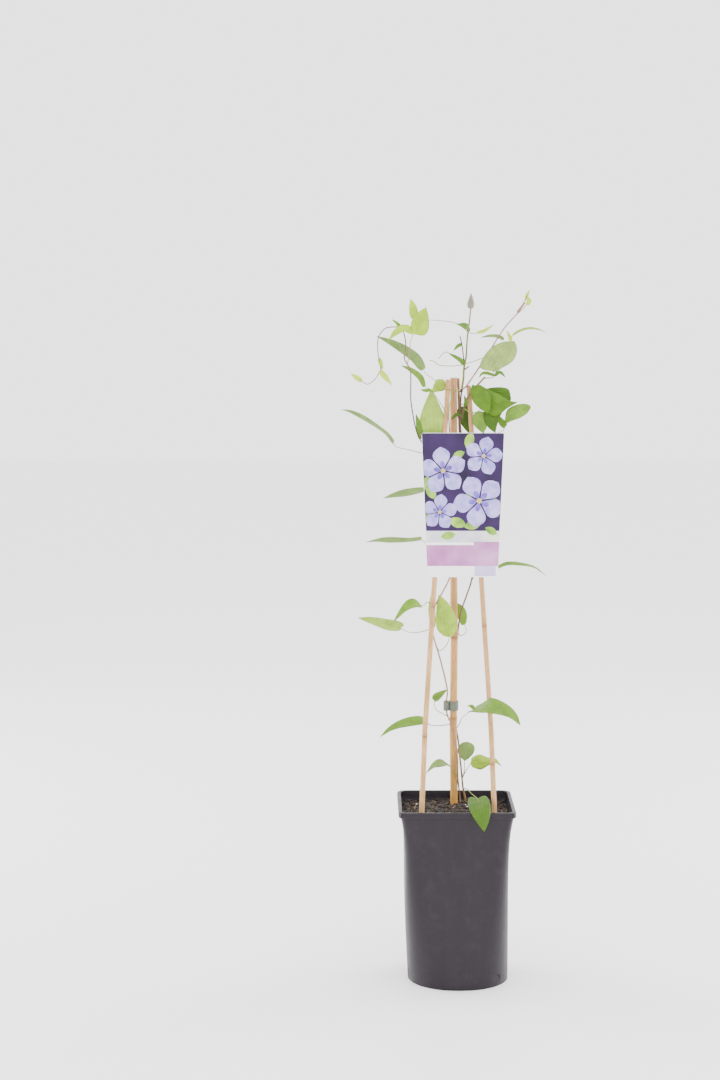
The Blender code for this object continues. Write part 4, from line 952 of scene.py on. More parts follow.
def blade_sheets(shape, middle, lift_way):
    """The upper and lower sheet of a blade as vertices, which share the ones round its edge."""
    columns = 2 * HALF_COLUMNS
    sheets = []
    for sign in (1.0, -1.0):
        sheet = []
        for index, (place, upper) in enumerate(zip(middle, lift_way)):
            row, column = divmod(index, columns + 1)
            rim = row in (0, BLADE_ROWS) or column in (0, columns)
            if rim and sign < 0.0:
                sheet.append(sheets[0][index])
                continue
            half = 0.0 if rim else BLADE / 2.0 * (1.0 - BLADE_THINNING * abs(column / HALF_COLUMNS - 1.0))
            sheet.append(shape.verts.new(mm(place + upper * half * sign)))
        sheets.append(sheet)
    return sheets


def leaves_mesh(name, blades):
    """All the blades of one shoot as one mesh, with their UV map and colours."""
    shape = bmesh.new()
    blade_map = shape.loops.layers.uv.new("blade")
    tints = shape.loops.layers.float_color.new("tint")
    columns = 2 * HALF_COLUMNS
    for _, middle, lift_way, tint in blades:
        top, under = blade_sheets(shape, middle, lift_way)
        for sheet, code, order in ((top, tint, (0, 1, 2, 3)), (under, UNDERSIDE, (3, 2, 1, 0))):
            shade = colour(GREENS[code])
            for row in range(BLADE_ROWS):
                for column in range(columns):
                    corners = [(row, column), (row + 1, column), (row + 1, column + 1), (row, column + 1)]
                    corners = [corners[i] for i in order]
                    verts = [sheet[r * (columns + 1) + c] for r, c in corners]
                    if len(set(verts)) < 4 or shape.faces.get(verts):
                        continue
                    face = shape.faces.new(verts)
                    for loop, (r, c) in zip(face.loops, corners):
                        loop[blade_map].uv = (c / columns, row_place(r))
                        loop[tints] = shade
    mesh = mesh_from(shape, name)
    mesh.shade_smooth()
    return mesh


def grow(node, parts):
    """Makes one shoot's stems and leaves and lets them stand for its CAD node."""
    blades = [part for part in parts if part[0] == "blade"]
    runs = [part[1] for part in parts if part[0] == "stem"]
    piece(new_object(node + "_leaves", leaves_mesh(node + "_leaves", blades), leaf_skin), "foliage", node)
    piece(sweep_paths(node + "_stems", runs, stem_skin, STEM_SIDES, angle=60.0), "foliage", node)


# %% [markdown]
# The two vines climb out of the soil behind the middle cane, wind round the canes behind the label and
# end in a crown of side shoots. No rule gives such a path, so each stem, midrib and margin is a short
# list of places, one for each turn, and the functions above add everything between them.

# %% Joints of the vines
ROOT_DEPTH = 185.0
LEFT_FOOT = (4, 42, 204)
RIGHT_FOOT = (10.5, 45, 204.5)
CROWN = (1, -2, 703.5)
CROWN_RADIUS = 1.7
KNOT_FOOT = Vector((0.2, 0, 2.6))
KNOT_HEAD = Vector((0.2, 0, 1.6))
LEFT_HEAD = (-14, -12.5, 673)
CLIP_EYE_OFFSET = (-8.6, -2.2, 0.0)


def eye_point(height):
    """The middle of the clip's side eye at a height."""
    return cane_point(CANES["cane_middle"], height) + Vector(CLIP_EYE_OFFSET)


def from_crown(toward, clearance=0.5):
    """Where a side shoot starts: just off the crown joint, on the side it grows towards."""
    joint, toward = Vector(CROWN), Vector(toward)
    return joint + (toward - joint).normalized() * (CROWN_RADIUS + clearance)


print("crown at", CROWN)

# %% Left vine
x, y, _ = LEFT_FOOT
parts = [stem([(x, y, ROOT_DEPTH), (x, y, 203), (2, 36, 220.5), (0, 26, 240), (-0.5, 23.5, 261.5),
               (-3.5, 20.5, 284), (-8, 20, 302.5), (-12.5, 22.5, 312.5), eye_point(320), eye_point(330),
               (-13.5, 22, 347), (-23, -4, 388), (-29.5, -19, 410.5), (-32.5, -18, 427), (-30, -15, 449),
               (-22, -10, 464), (-13, -6, 481), (-7, -2, 504), (-8, -1, 551), (-12.5, -1, 598),
               (-13, -3, 633.5), (-13, -6, 655), LEFT_HEAD], 1.05, 0.8, tint="tan", end_tint="pink")]
# Narrow wavy leaf low on the left
parts += sprig([(1.5, 32, 229), (-1.5, 24, 241), (-6, 22.5, 249)],
               [(-9.5, 19, 252), (-18, 14, 257), (-29, 10, 254.5), (-38.5, 6, 246.5)], 6.5,
               face=(-0.2, -0.45, 0.85), lobe=0.06, wave=0.25, tint="grey")
# Long arching leaf behind the left cane
parts += sprig([(-8.5, 20, 303.5), (-22, 6, 304.5), (-33.5, -10, 308.5)],
               [(-38, -17, 313), (-46.5, -22, 316), (-64.5, -27, 314), (-80.5, -32, 309),
                (-93.5, -35, 299.5)], 6.8, face=(-0.1, -0.65, 0.75), lobe=0.08, wave=0.1,
               stalk_tint="pink", tint="soft")
# Small folded leaf between the left and middle canes
parts += sprig([(-13, 22.5, 312.5), (-19.5, 10, 318.5), (-26, 0, 324), (-29, -6, 330.5)],
               [(-29.5, -9, 338), (-23, -8, 343.5), (-14.5, -6, 350)], 5.0, face=(-0.35, -0.75, 0.45),
               lobe=0.1, fold=0.5, tint="soft")
# Big bright leaf between the canes
parts += sprig([(-27, -14.5, 403), (-23, -8, 397), (-15, 2, 402), (-12, 5, 409)],
               [(-12, 2.5, 411.5), (-15.5, -5, 431), (-19.5, -10, 448.5), (-25, -12, 464.5)], 12.0,
               face=(-0.1, -1, 0.1), tint="curl",
               left=[(-18.5, 2, 413), (-26, -1, 421), (-28, -6, 434.5), (-27, -10, 452),
                     (-25, -12, 464.5)],
               right=[(-7, 2, 413.5), (-2.5, -2, 425), (-6, -8, 441.5), (-14.5, -11, 455.5),
                      (-24.5, -12, 464.5)])
# Narrow leaf that shows behind the left cane's edge
parts += sprig([(-32.5, -18.5, 424), (-31, -16, 421)],
               [(-31, -13.5, 426.5), (-33, -12.5, 450), (-31, -12, 474.5)], 4.0, face=(-0.2, -1, 0),
               lobe=0.05, tint="young")
# Two leaves out to the left at half height
parts += sprig([(-30.5, -15.5, 445.5), (-34.5, -16, 454), (-39, -25, 457.5), (-42.5, -33, 455)],
               [(-47, -40, 456.5), (-55.5, -46, 459), (-66, -52, 453.5), (-78, -56, 440)], 7.4,
               face=(-0.25, -0.65, 0.7), lobe=0.06, wave=0.12, tint="fresh")
parts += sprig([(-32.5, -18, 426), (-37, -18.5, 424), (-47, -18, 421), (-60.5, -12, 420)],
               [(-69.5, -6, 424), (-84, 2, 425.5), (-101.5, 8, 429.5), (-119.5, 12, 433)], 9.0,
               face=(0.05, -0.6, 0.8), lobe=0.12, tint="pale")
# Leaves beside the label, on stalks that start behind it
parts += sprig([(-10.5, -1, 574.5), (-23.5, -1, 581), (-35.5, -4, 586)],
               [(-42.5, -8, 587.5), (-60, -16, 585), (-76.5, -23, 582.5), (-90.5, -30, 580)], 6.5,
               face=(-0.1, -0.55, 0.8), lobe=0.1, tint="grey")
parts += sprig([(-7, -2, 507.5), (-23, 0, 516), (-35, -1, 521.5), (-42, 1, 525.5)],
               [(-46, 3, 528), (-60.5, 9, 525.5), (-79.5, 14, 525), (-96, 18, 524.5), (-111, 22, 521.5)],
               5.5, face=(0, -0.5, 0.85), lobe=0.08, wave=0.15, tint="grey")
parts += sprig([(-13, -2, 623), (-28.5, 2, 625), (-45.5, -3, 630), (-60, -10, 634.5), (-74.5, -16, 638.5)],
               [(-79.5, -20, 645), (-87, -24, 654.5), (-99.5, -30, 664.5), (-114.5, -36, 674.5),
                (-128.5, -40, 681.5), (-139, -42, 684)], 4.8, face=(0.35, -0.55, 0.75), lobe=0.1,
               wave=0.15, stalk_tint="pink", tint="grey")
# Big pale leaf beside the head of the left cane
parts += sprig([(-13, -4.5, 642), (-19, -4, 642.5), (-26, -3.5, 644)],
               [(-32.5, -4.5, 649), (-34, -9, 667), (-34.5, -12, 687), (-34.5, -12, 705)], 11.4,
               face=(-0.15, -1, 0.2), lobe=0.06, tint="pale",
               left=[(-35, -5, 647), (-46, -7, 652.5), (-48, -9.5, 669), (-42, -12.5, 689),
                     (-34.5, -12.5, 705.5)],
               right=[(-31, -4.5, 647), (-18.5, -6.5, 651.5), (-18.5, -9.5, 670.5), (-26, -12.5, 689.5),
                      (-34, -12.5, 705.5)])
# Pointed leaf above it and the scrap of a leaf on the same stalk
parts += sprig([LEFT_HEAD, (-19, -15, 681), (-25.5, -16.5, 692), (-31, -16.5, 699.5), (-35.5, -16, 705.5)],
               [(-42.5, -14.5, 708.5), (-47.5, -17, 719.5), (-59, -19, 728.5), (-69.5, -20, 733)], 3.5,
               face=(-0.4, -0.8, 0.4), lobe=0.05, tint="soft")
parts += [leaflet([(-35, -16.5, 704.5), (-42, -18.5, 704), (-47, -20, 705.5)], 2.2, (0, -0.8, 0.5),
                  "fresh")]
# Stalk between the canes to the leaf that curls over the left cane's head
parts += sprig([LEFT_HEAD, (-13, -11.5, 687), (-10.5, -7.5, 697), (-10.5, -2, 702.5), (-13, 2.5, 704)],
               [(-16.5, 3, 706.5), (-23, 2, 710.5), (-30, -1, 707.5), (-34.5, -4, 700)], 6.2,
               face=(-0.1, -0.9, 0.4), tint="curl",
               left=[(-16.5, 3, 704.5), (-21, 1.5, 702), (-27, -1, 701.5), (-34, -4, 699.5)],
               right=[(-16.5, 3, 710.5), (-20.5, 1.5, 715.5), (-29, -0.5, 714.5), (-34.5, -4, 700.5)])
grow("vine_left", parts)

# %% Right vine
x, y, _ = RIGHT_FOOT
main = stem([(x, y, ROOT_DEPTH), (x, y, 203), (7, 40, 221), (4.5, 33, 244.5), (2.5, 29, 261.5),
             (1, 33, 279), (-2, 35.5, 296.5), (-4, 36, 319.5), (-3.5, 34.5, 348), (-2.5, 32.5, 378.5),
             (-1, 29.5, 409.5), (1.5, 25.5, 430.5), (4, 21, 443.5), (9.5, 15, 461), (14.5, 10, 478.5),
             (17, 4, 503), (14, 0, 551), (7, 4, 609.5), (2, 4, 644.5), (-0.5, 1, 668.5), (0, 0, 687),
             CROWN], 1.15, 0.95, tint="tan", end_tint="brown")
knot = stem([Vector(CROWN) - KNOT_FOOT, CROWN, Vector(CROWN) + KNOT_HEAD], CROWN_RADIUS,
            CROWN_RADIUS * 0.9, tint="brown")
stub = stem([(2, 4, 643.5), (-0.5, 8.5, 656), (-1.5, 8.5, 691), (-2.5, 8, 716.5)], 1.45, 1.6,
            tint="brown", end_tint="tan")
parts = [main, knot, stub]
# Heart leaf that hangs over the front rim
parts += sprig([(7.5, 40.5, 219), (11, 33, 221.5), (16, 4, 222)],
               [(21, -37, 226), (22, -57, 222.5), (23.5, -70, 216.5), (25.5, -76, 208), (27, -77, 196.5)],
               12.8, face=(0, -0.75, 0.65), lobe=0.2, fold=0.1, tint="deep")
# Two round leaves on stalks from the low joint
parts += sprig([(6, 36, 234), (8, 34, 242), (8.5, 35.5, 249)],
               [(8.5, 36.5, 254.5), (9.5, 38.5, 264), (10.5, 42, 272), (11.5, 46, 276)], 10.5,
               face=(0, -0.9, 0.4), tint="grey",
               left=[(3.5, 37, 259), (0, 38.5, 266), (1.5, 41, 272), (5.5, 44, 275.5), (11, 46, 276.5)],
               right=[(13.5, 37, 257.5), (19.5, 38.5, 264), (21, 41, 270.5), (18, 44, 274.5),
                      (12, 46, 276.5)])
parts += sprig([(6, 36, 234), (9.5, 30, 243.5)],
               [(15, 26.5, 253.5), (22.5, 20, 261.5), (30.5, 14, 257.5), (40, 8, 263.5), (50.5, 2, 256.5)],
               9.0, face=(0.1, -0.6, 0.8), tint="curl",
               left=[(16.5, 27, 261), (25, 20.5, 266.5), (35.5, 13, 264.5), (44, 7, 265), (50.5, 2, 257)],
               right=[(17.5, 25.5, 249.5), (27, 19.5, 248), (35.5, 13, 254), (43.5, 7, 259),
                      (50.5, 2, 256)])
# Broad leaf that arches in front of the right cane
parts += sprig([(-1.5, 35, 294.5), (3, 30, 303.5), (3, 18, 309), (7, -4, 319)],
               [(15.5, -26, 330), (26, -46, 337), (36, -57, 340), (51, -62, 336), (61, -65, 330),
                (68.5, -66, 320)], 11.0, face=(0.1, -0.72, 0.68), lobe=0.12, wave=0.1, tint="soft")
parts += [leaflet([(16.5, -28, 331.5), (13, -25, 334.5), (8.5, -20, 333)], 2.4, (0, -0.7, 0.7), "fresh")]
# Small round leaf behind the middle cane
parts += sprig([(-0.5, 29.5, 412), (3, 29, 408.5), (9.5, 30, 413.5)],
               [(7.5, 32, 421.5), (4.5, 33, 435.5), (-1.5, 33, 445), (-10.5, 31, 448.5)], 6.8,
               face=(0.3, -1, 0), tint="fresh",
               left=[(4, 32, 420.5), (-1, 33, 429.5), (-5, 33.5, 439.5), (-8.5, 33, 445), (-11, 31, 448)],
               right=[(9.5, 32, 423.5), (10.5, 33, 433.5), (6.5, 33.5, 442.5), (-2.5, 33, 448),
                      (-10.5, 31, 448.5)])
# Narrow leaf out to the right at the label's foot
parts += sprig([(14.5, 10, 478.5), (22, 9, 487.5), (36, 6, 491.5)],
               [(44, 7, 493), (56, 10, 497.5), (71.5, 14, 496.5), (88.5, 18, 492.5), (103, 20, 482)], 3.8,
               face=(0, -0.45, 0.9), lobe=0.05, tint="soft")
# Leaves on the stalk that climbs from behind the label's right top corner
parts += sprig([(4.5, 4, 630.5), (20.5, 1, 641.5), (36.5, -3, 650.5), (46.5, -6, 655), (50.5, -8, 658.5)],
               [(51.5, -9.5, 666.5), (58.5, -14, 674.5), (68.5, -18, 681), (80, -20, 686)], 9.4,
               face=(-0.1, -0.9, 0.4), tint="soft",
               left=[(51, -10, 669), (53.5, -14.5, 681.5), (63.5, -18, 687.5), (73.5, -20, 689),
                     (80, -20, 687)],
               right=[(51.5, -10, 664), (58, -13, 668), (68, -17, 672), (76.5, -20, 678),
                      (80.5, -20, 684.5)])
parts += [leaf([(52, -9.5, 661.5), (46.5, -12, 667.5), (41.5, -14, 676.5)], 4.4, face=(0.2, -0.9, 0.3),
               lobe=0.05, tint="dense")]
# Leaves behind and across the middle cane, in the shade green, which is painted shade from the canes
parts += sprig([(0, 0, 685.5), (2.5, 6, 687)], [(4.5, 13, 683), (7, 14, 668.5), (11, 12, 651)], 9.5,
               face=(0, -1, 0.1), lobe=0.1, tint="shade")
parts += [leaflet([(0, 0.5, 675.5), (-6, -3.5, 674), (-11.5, -5, 669)], 2.4, (0, -0.9, 0.4), "shade")]
grow("vine_right", parts)

# %% [markdown]
# The crown's shoots are made as the vines are. They start just off the crown joint or on a vine, so that
# no stem begins in the air. The young ones are pink or brown and carry small bright leaves.

# %% Arching shoot
parts = [stem([(-14.5, -1, 614.5), (-23.5, 1, 621.5), (-35.5, -3, 631), (-47, -7.5, 646),
               (-52.5, -13, 660), (-56.5, -20, 680.5), (-58.5, -24, 696), (-58.5, -28, 717),
               (-59.5, -30, 729.5), (-66, -31, 742), (-64.5, -33, 758.5), (-67.5, -36, 773.5),
               (-72, -39, 778), (-80, -42, 778.5), (-88.5, -46, 777), (-95.5, -52, 768.5),
               (-97, -55, 758.5), (-96, -57, 746.5), (-93.5, -58, 734), (-95, -58.5, 728),
               (-100.5, -59, 719.5), (-108, -60, 714.5), (-114, -60, 717), (-118, -60.5, 720.5)], 0.85,
              0.5, tint="brown", end_tint="pink")]
parts += [leaf([(-47, -7.5, 647), (-49, -10, 663.5), (-52, -12, 676.5)], 3.4, face=(0, -1, 0.1),
               lobe=0.03, tint="mature")]
parts += sprig([(-62.5, -30.5, 736), (-60, -37, 749.5), (-59.5, -40, 760.5)],
               [(-55.5, -41.5, 771.5), (-49, -44, 781.5), (-44.5, -45, 791), (-42, -45, 800.5)], 9.4,
               face=(0.1, -1, 0.15), stalk_tint="pink", tint="young",
               left=[(-56.5, -41.5, 771), (-59, -43.5, 781), (-55.5, -45, 790.5), (-49.5, -45.5, 796.5),
                     (-42.5, -45, 801)],
               right=[(-55, -41, 770), (-44, -42.5, 769), (-38.5, -44, 776.5), (-38.5, -45, 789),
                      (-41.5, -45, 801)])
parts += [leaf([(-55.5, -41.5, 772.5), (-66.5, -46, 777), (-76, -49, 772.5), (-84.5, -50, 764)], 5.2,
               face=(-0.2, -0.8, 0.5), lobe=0.04, tint="young")]
# Leaflets along the arch
parts += [leaflet([(-69.5, -37.5, 776.5), (-74.5, -39.5, 782.5), (-80.5, -41, 787)], 1.9,
                  (-0.3, -0.8, 0.5), "fresh"),
          leaflet([(-95.5, -57, 744), (-93, -58, 737), (-91.5, -57, 730)], 2.4, (0, -1, 0.1), "young"),
          leaflet([(-94.5, -58.5, 729.5), (-88, -60, 722), (-80.5, -61, 713.5)], 3.4, (0.2, -0.9, 0.3),
                  "lime"),
          leaflet([(-115, -60, 718), (-121, -61, 722), (-127.5, -62, 726.5)], 2.9, (-0.1, -0.9, 0.4),
                  "lime")]
grow("shoot_arch", parts)

# %% Upright shoot
low_joint, high_joint = (4.5, -5, 734.5), (7.5, -10, 770)
start = from_crown((3, -3, 715))
parts = [stem([start, (3, -3, 716.5), (3.5, -4, 728), low_joint, (6, -6, 743), (6.5, -8, 755), high_joint,
               (9, -11, 780.5), (10.5, -13, 797.5)], 1.4, 0.8, tint="olive")]
parts += [leaf([(7.5, -11, 769.5), (8, -16, 775.5), (1.5, -19, 779), (-6, -20, 780.5)], 5.6,
               face=(-0.2, -0.65, 0.75), lobe=0.1, tint="mature")]
parts += sprig([(7.5, -10, 770.5), (11.5, -8, 769.5)],
               [(18, -4, 769.5), (27.5, 4, 772), (38.5, 12, 778.5)], 2.2, STALK - 0.1,
               face=(0, -0.85, 0.5), lobe=SMALL_LOBE, tint="lime")
# Long stalk to the left with the bright upright leaf at its end
parts += sprig([(7.5, -10, 772), (1.5, -12.5, 776.5), (-5.5, -15, 781), (-13.5, -20, 783.5),
                (-25, -27, 785), (-37, -33, 786), (-48.5, -37, 785)],
               [(-54.5, -37.5, 788), (-56.5, -37, 800), (-59, -35, 810)], 5.0, STALK - 0.1,
               face=(0, -1, 0.1), lobe=0.08, stalk_tint="pink", tint="young")
# Brown side shoot with a small leaf
parts += [stem([(4.5, -5, 733.5), (3, -1.5, 741.5), (2, 0, 751.5), (0.5, 1, 759.5), (-1, 2, 766)], 0.8,
               0.7, tint="brown"),
          leaflet([(1, 1, 757), (-4, -2, 754), (-8.5, -4, 749.5)], 2.2, (-0.1, -0.9, 0.4), "mature")]
# Narrow leaf with a trailing tip, and two long bare leaf stalks
parts += [leaflet([(4, -5, 733.5), (-0.5, -8, 738), (-7, -12, 742.5), (-15.5, -15, 747.5)], 3.0,
                  (-0.2, -0.8, 0.5), "mature"),
          stem([(-12.5, -14, 746), (-17.5, -15.5, 748.5), (-21.5, -16.5, 746.5), (-26.5, -18, 741)], 0.5,
               0.45, tint="stalk"),
          stem([(4.5, -5, 733), (-1.5, -9, 732.5), (-14, -12, 732), (-26, -15, 733.5),
                (-31.5, -17, 737.5), (-36.5, -18, 739)], 0.5, 0.45, tint="stalk"),
          stem([(4.5, -5, 734.5), (9, -4, 735), (17.5, 0, 737.5), (26, 3, 740.5), (33, 5, 742)], 0.5,
               0.45, tint="stalk"),
          stem([(4, -4, 727.5), (6.5, -5, 729), (9.5, -6, 731.5)], 0.9, 0.6, tint="brown")]
grow("shoot_centre", parts)

# %% Leaning shoot
start = from_crown((6, -7, 708.5))
parts = [stem([start, (6, -7.5, 708), (9.5, -11, 713.5), (21, -8, 730), (29, -3, 742), (37, 2, 754),
               (43, 5, 763.5), (53, 9, 777.5), (65.5, 13, 791), (70.5, 15, 799), (75, 16.5, 806.5),
               (77, 17, 812)], 1.0, 0.55, tint="pink")]
parts += [leaflet([(76, 16.5, 807), (77.5, 17, 812.5), (80.5, 18, 818.5)], 1.8, (-0.2, -1, 0), "lime"),
          stem([(65.5, 13, 791), (72.5, 13, 796.5), (78, 13.5, 804)], 0.45, 0.4, tint="pink"),
          leaflet([(77, 13, 801), (79.5, 13.5, 806.5), (77.5, 14, 811.5)], 2.7, (0, -1, 0), "lime"),
          stem([(66.5, 14, 792.5), (69.5, 14, 797), (74.5, 13.5, 804)], 1.9, 1.1, tint="pink")]
# Two narrow leaves and a small bright one near the big pale leaf
parts += sprig([(44, 5, 764.5), (48.5, 7.5, 760.5)],
               [(50.5, 9.5, 762), (42.5, 10, 765), (33, 8, 765.5), (23.5, 6, 764)], 2.8, STALK - 0.1,
               face=(0, -0.7, 0.7), lobe=0.04, tint="grey")
parts += sprig([(30, -2, 743.5), (43.5, 4, 749), (52.5, 6, 755), (58.5, 5, 761)],
               [(60.5, 8, 766.5), (69.5, 13, 771.5), (80.5, 18, 774), (91.5, 22, 772.5), (100.5, 25, 769)],
               2.0, STALK - 0.1, face=(0, -0.7, 0.7), lobe=SMALL_LOBE, tint="pale")
parts += [leaflet([(59, 5, 760), (56.5, 4, 765.5), (53.5, 3, 772.5)], 2.2, (0, -1, 0.1), "lime")]
grow("shoot_right", parts)

# %% [markdown]
# The spur is a short woody stub with the darkest leaves of the plant, which overlap to the right of the
# cane heads. One long leaf stalk beside it reaches across the left cane, as a clematis climbs by its
# leaf stalks.

# %% Spur with the dense leaves
parts = [stem([(1, -1, 668.5), (3.5, -7.5, 682), (7.5, -11.5, 695), (12, -12.5, 702.5), (17, -13.5, 708),
               (27.5, -14.5, 719.5)], 1.0, 1.15, tint="brown", end_tint="tan")]
# Large pale leaf and two small ones on one stalk from the spur's cut end
parts += sprig([(26.5, -14.5, 718), (32, -16, 718.5), (37.5, -17, 719.5)],
               [(37, -17, 726), (41.5, -22, 738.5), (48, -25, 749.5), (61, -24, 761.5)], 15.6,
               face=(-0.1, -1, 0.1), lobe=0.08, peak=0.45, stalk_tint="olive", tint="silver",
               left=[(39.5, -17, 725.5), (22, -19.5, 730), (24, -22, 741), (33, -24, 753),
                     (46.5, -25, 760.5), (60.5, -24, 761.5)],
               right=[(40, -17, 725.5), (47.5, -18.5, 730.5), (58, -21, 737), (63.5, -23, 747),
                      (63.5, -24.5, 755), (61, -24, 761)])
parts += [leaflet([(39, -17, 721), (29.5, -17, 724), (24, -18, 723.5), (20.5, -19, 719.5)], 2.2,
                  (0, -0.8, 0.6), "mature"),
          leaflet([(38.5, -17, 721), (44.5, -18, 725), (51, -20, 719.5)], 2.4, (0, -0.8, 0.6), "mature")]
# Dense leaves to the right of the cane head
parts += [leaf([(16, -13.5, 709.5), (19.5, -20, 701.5), (24.5, -23, 690.5), (30.5, -24, 678)], 10.8,
               face=(-0.25, -1, 0.2), tint="dense",
               left=[(18.5, -14, 711), (27.5, -18, 706.5), (34, -21, 697), (34.5, -23, 685.5),
                     (31, -24, 678)],
               right=[(13, -14, 711), (10.5, -18.5, 703), (13, -22, 692.5), (20.5, -24, 684),
                      (30, -24, 678)]),
          leaf([(18.5, -13.5, 709), (32, -16, 697), (47, -19, 690), (64.5, -21, 690.5)], 13.5,
               face=(0.15, -0.95, 0.3), tint="dense",
               left=[(22, -13, 710.5), (31.5, -14, 705), (45, -16.5, 699), (56, -19.5, 692.5),
                     (64.5, -21, 691)],
               right=[(19.5, -14, 704.5), (26.5, -16, 682.5), (39, -18, 673), (53, -20, 683.5),
                      (64, -21, 690)])]
parts += sprig([(14.5, -13, 705), (19.5, -11.5, 706)],
               [(24.5, -9.5, 703), (36, -5, 700.5), (48, -4, 698.5), (58.5, -4, 693.5)], 10.2,
               face=(0, -0.95, 0.3), tint="deep",
               left=[(25, -9, 704.5), (35, -5, 706.5), (46.5, -4, 707), (55.5, -4, 704.5),
                     (58.5, -4, 695)],
               right=[(25.5, -9, 699.5), (36.5, -5, 688.5), (48, -4, 686), (56, -4, 689),
                      (58.5, -4, 692.5)])
parts += sprig([(4, -7.5, 682.5), (9.5, -12, 679.5), (17.5, -14.5, 678.5)],
               [(30, -15, 687), (34, -16.5, 675.5), (37, -18, 665.5), (40, -18, 655)], 9.0,
               face=(-0.1, -1, 0.1), tint="night",
               left=[(33.5, -14, 689.5), (48.5, -16, 684), (45, -18, 673.5), (41.5, -18, 663),
                     (40, -18, 655)],
               right=[(28, -15, 686.5), (26, -17, 675.5), (28, -18, 666.5), (33, -18, 659.5),
                      (39.5, -18, 655)])
parts += [leaf([(19, -14.5, 679.5), (22.5, -14, 668.5), (26, -15.5, 654.5)], 9.4, face=(0.05, -1, 0.1),
               lobe=0.1, peak=0.45, tint="soft"),
          leaflet([(5, -9, 685), (5.5, -13, 691), (3.5, -13, 698.5)], 2.2, (0, -1, 0.1), "deep")]
grow("spur_right", parts)

# %% Leaf that grips the canes
start = from_crown((-6.5, -4, 703.5))
parts = sprig([start, (-6.5, -4, 703.5), (-16, -10, 705), (-24.5, -12, 710), (-31, -13, 716),
               (-40.5, -15, 723)],
              [(-44, -16, 728.5), (-53.5, -18, 742), (-70, -20, 753.5), (-85, -22, 761.5),
               (-98, -24, 767)], 5.8, face=(-0.35, -0.8, 0.45), lobe=SMALL_LOBE, peak=0.27, tint="grey")
grow("leaf_long_stalk", parts)

# %% [markdown]
# The closed bud is four sepals folded into a point and covered with short silky hairs, which turn its
# olive-brown skin taupe grey. The body is lofted with four soft ridges, one for each sepal.

# %% Closed bud
BUD_BASE = Vector((10.5, -13, 797.5))
BUD_TIP = Vector((11, -14.5, 816))
BUD_HALF = 4.3
BUD_RINGS = 22
BUD_SIDES = 32
BUD_START = 0.02
BUD_SPAN = 0.97
BUD_NECK = 0.3
SWELL_PLACE = 0.62
SWELL_POWER = 0.85
SWELL_TAPER = 0.35
SEPALS = 4
SEPAL_RIDGE = 0.07
DOWN_WIDTH = 0.4545
DOWN_LENGTH = 2.0

bud_skin, tree, shader = new_material("downy_bud_skin", Roughness=0.85, Sheen_Weight=0.4)
place = add_node(tree, "ShaderNodeTexCoord").outputs["Object"]
lengthways = add_node(tree, "ShaderNodeMapping", {
    "Vector": place, "Scale": (marks(DOWN_WIDTH), marks(DOWN_WIDTH), marks(DOWN_LENGTH))})
down = add_node(tree, "ShaderNodeTexNoise", {"Vector": lengthways, "Scale": 1.0, "Detail": 3.0})
tone = add_node(tree, "ShaderNodeMix", {"Factor": down, "A": colour("#5c5546"), "B": colour("#938b78")},
                data_type="RGBA")
fuzz = add_node(tree, "ShaderNodeBump", {"Height": down, "Strength": 0.6, "Distance": 0.0004})
plug(tree, tone, shader.inputs["Base Color"])
plug(tree, fuzz, shader.inputs["Normal"])

rings = []
for step in range(BUD_RINGS):
    place = BUD_START + BUD_SPAN * step / (BUD_RINGS - 1)
    swell = math.sin(math.pi * place ** SWELL_PLACE) ** SWELL_POWER * (1.0 - SWELL_TAPER * place)
    ring = []
    for side in range(BUD_SIDES):
        turn = 2.0 * math.pi * side / BUD_SIDES
        ridge = 1.0 + SEPAL_RIDGE * math.cos(SEPALS * turn) * math.sin(math.pi * place)
        radius = max(BUD_HALF * swell, BUD_NECK) * ridge
        ring.append((radius * math.cos(turn), radius * math.sin(turn), place * (BUD_TIP - BUD_BASE).length))
    rings.append(ring)
bud_mesh = loft(rings)
stand = (BUD_TIP - BUD_BASE).to_track_quat("Z", "Y").to_matrix().to_4x4()
bud_mesh.transform(Matrix.Translation(BUD_BASE * MM) @ stand)
bud = new_object("bud_body", bud_mesh, bud_skin)
piece(smooth(bud, angle=60.0), "bud", "bud_centre")

# %% [markdown]
# The silky hairs could be a bump, but then the bud's outline would stay bare. They are thin three-sided
# cones, scattered over the bud by a Geometry Nodes tree that tips each one towards the top.

# %% Hairs on the bud
HAIR_RADIUS = 0.06
HAIR_LENGTH = 1.1
HAIR_TIP = 1.6
HAIRS_PER_SQUARE_METRE = 3.2e6

hair_tree, given = new_tree("hairs on a bud", Per_Square_Metre="Float", Length="Float", Seed="Int",
                            Finish="Material")
dots = add_node(hair_tree, "GeometryNodeDistributePointsOnFaces", {
    "Mesh": given["Geometry"], "Density": given["Per Square Metre"], "Seed": given["Seed"]})
hair = add_node(hair_tree, "GeometryNodeMeshCone", {
    "Vertices": 3, "Radius Top": 0.0, "Radius Bottom": HAIR_RADIUS * MM, "Depth": given["Length"]})
up = add_node(hair_tree, "ShaderNodeVectorMath", {0: dots.outputs["Normal"], 1: (0.0, 0.0, HAIR_TIP)},
              operation="ADD")
lay = add_node(hair_tree, "FunctionNodeAlignEulerToVector", {"Vector": up}, axis="Z")
hairs = add_node(hair_tree, "GeometryNodeInstanceOnPoints", {
    "Points": dots.outputs["Points"], "Instance": hair.outputs["Mesh"], "Rotation": lay})
real = add_node(hair_tree, "GeometryNodeRealizeInstances", {"Geometry": hairs})
dressed = add_node(hair_tree, "GeometryNodeSetMaterial", {"Geometry": real, "Material": given["Finish"]})
add_node(hair_tree, "NodeGroupOutput", {"Geometry": dressed})
silk, _, _ = new_material("silky_bud_hair", Base_Color=colour("#a49c8a"), Roughness=0.6)
bud_down = new_object("bud_hairs", bud.data.copy())
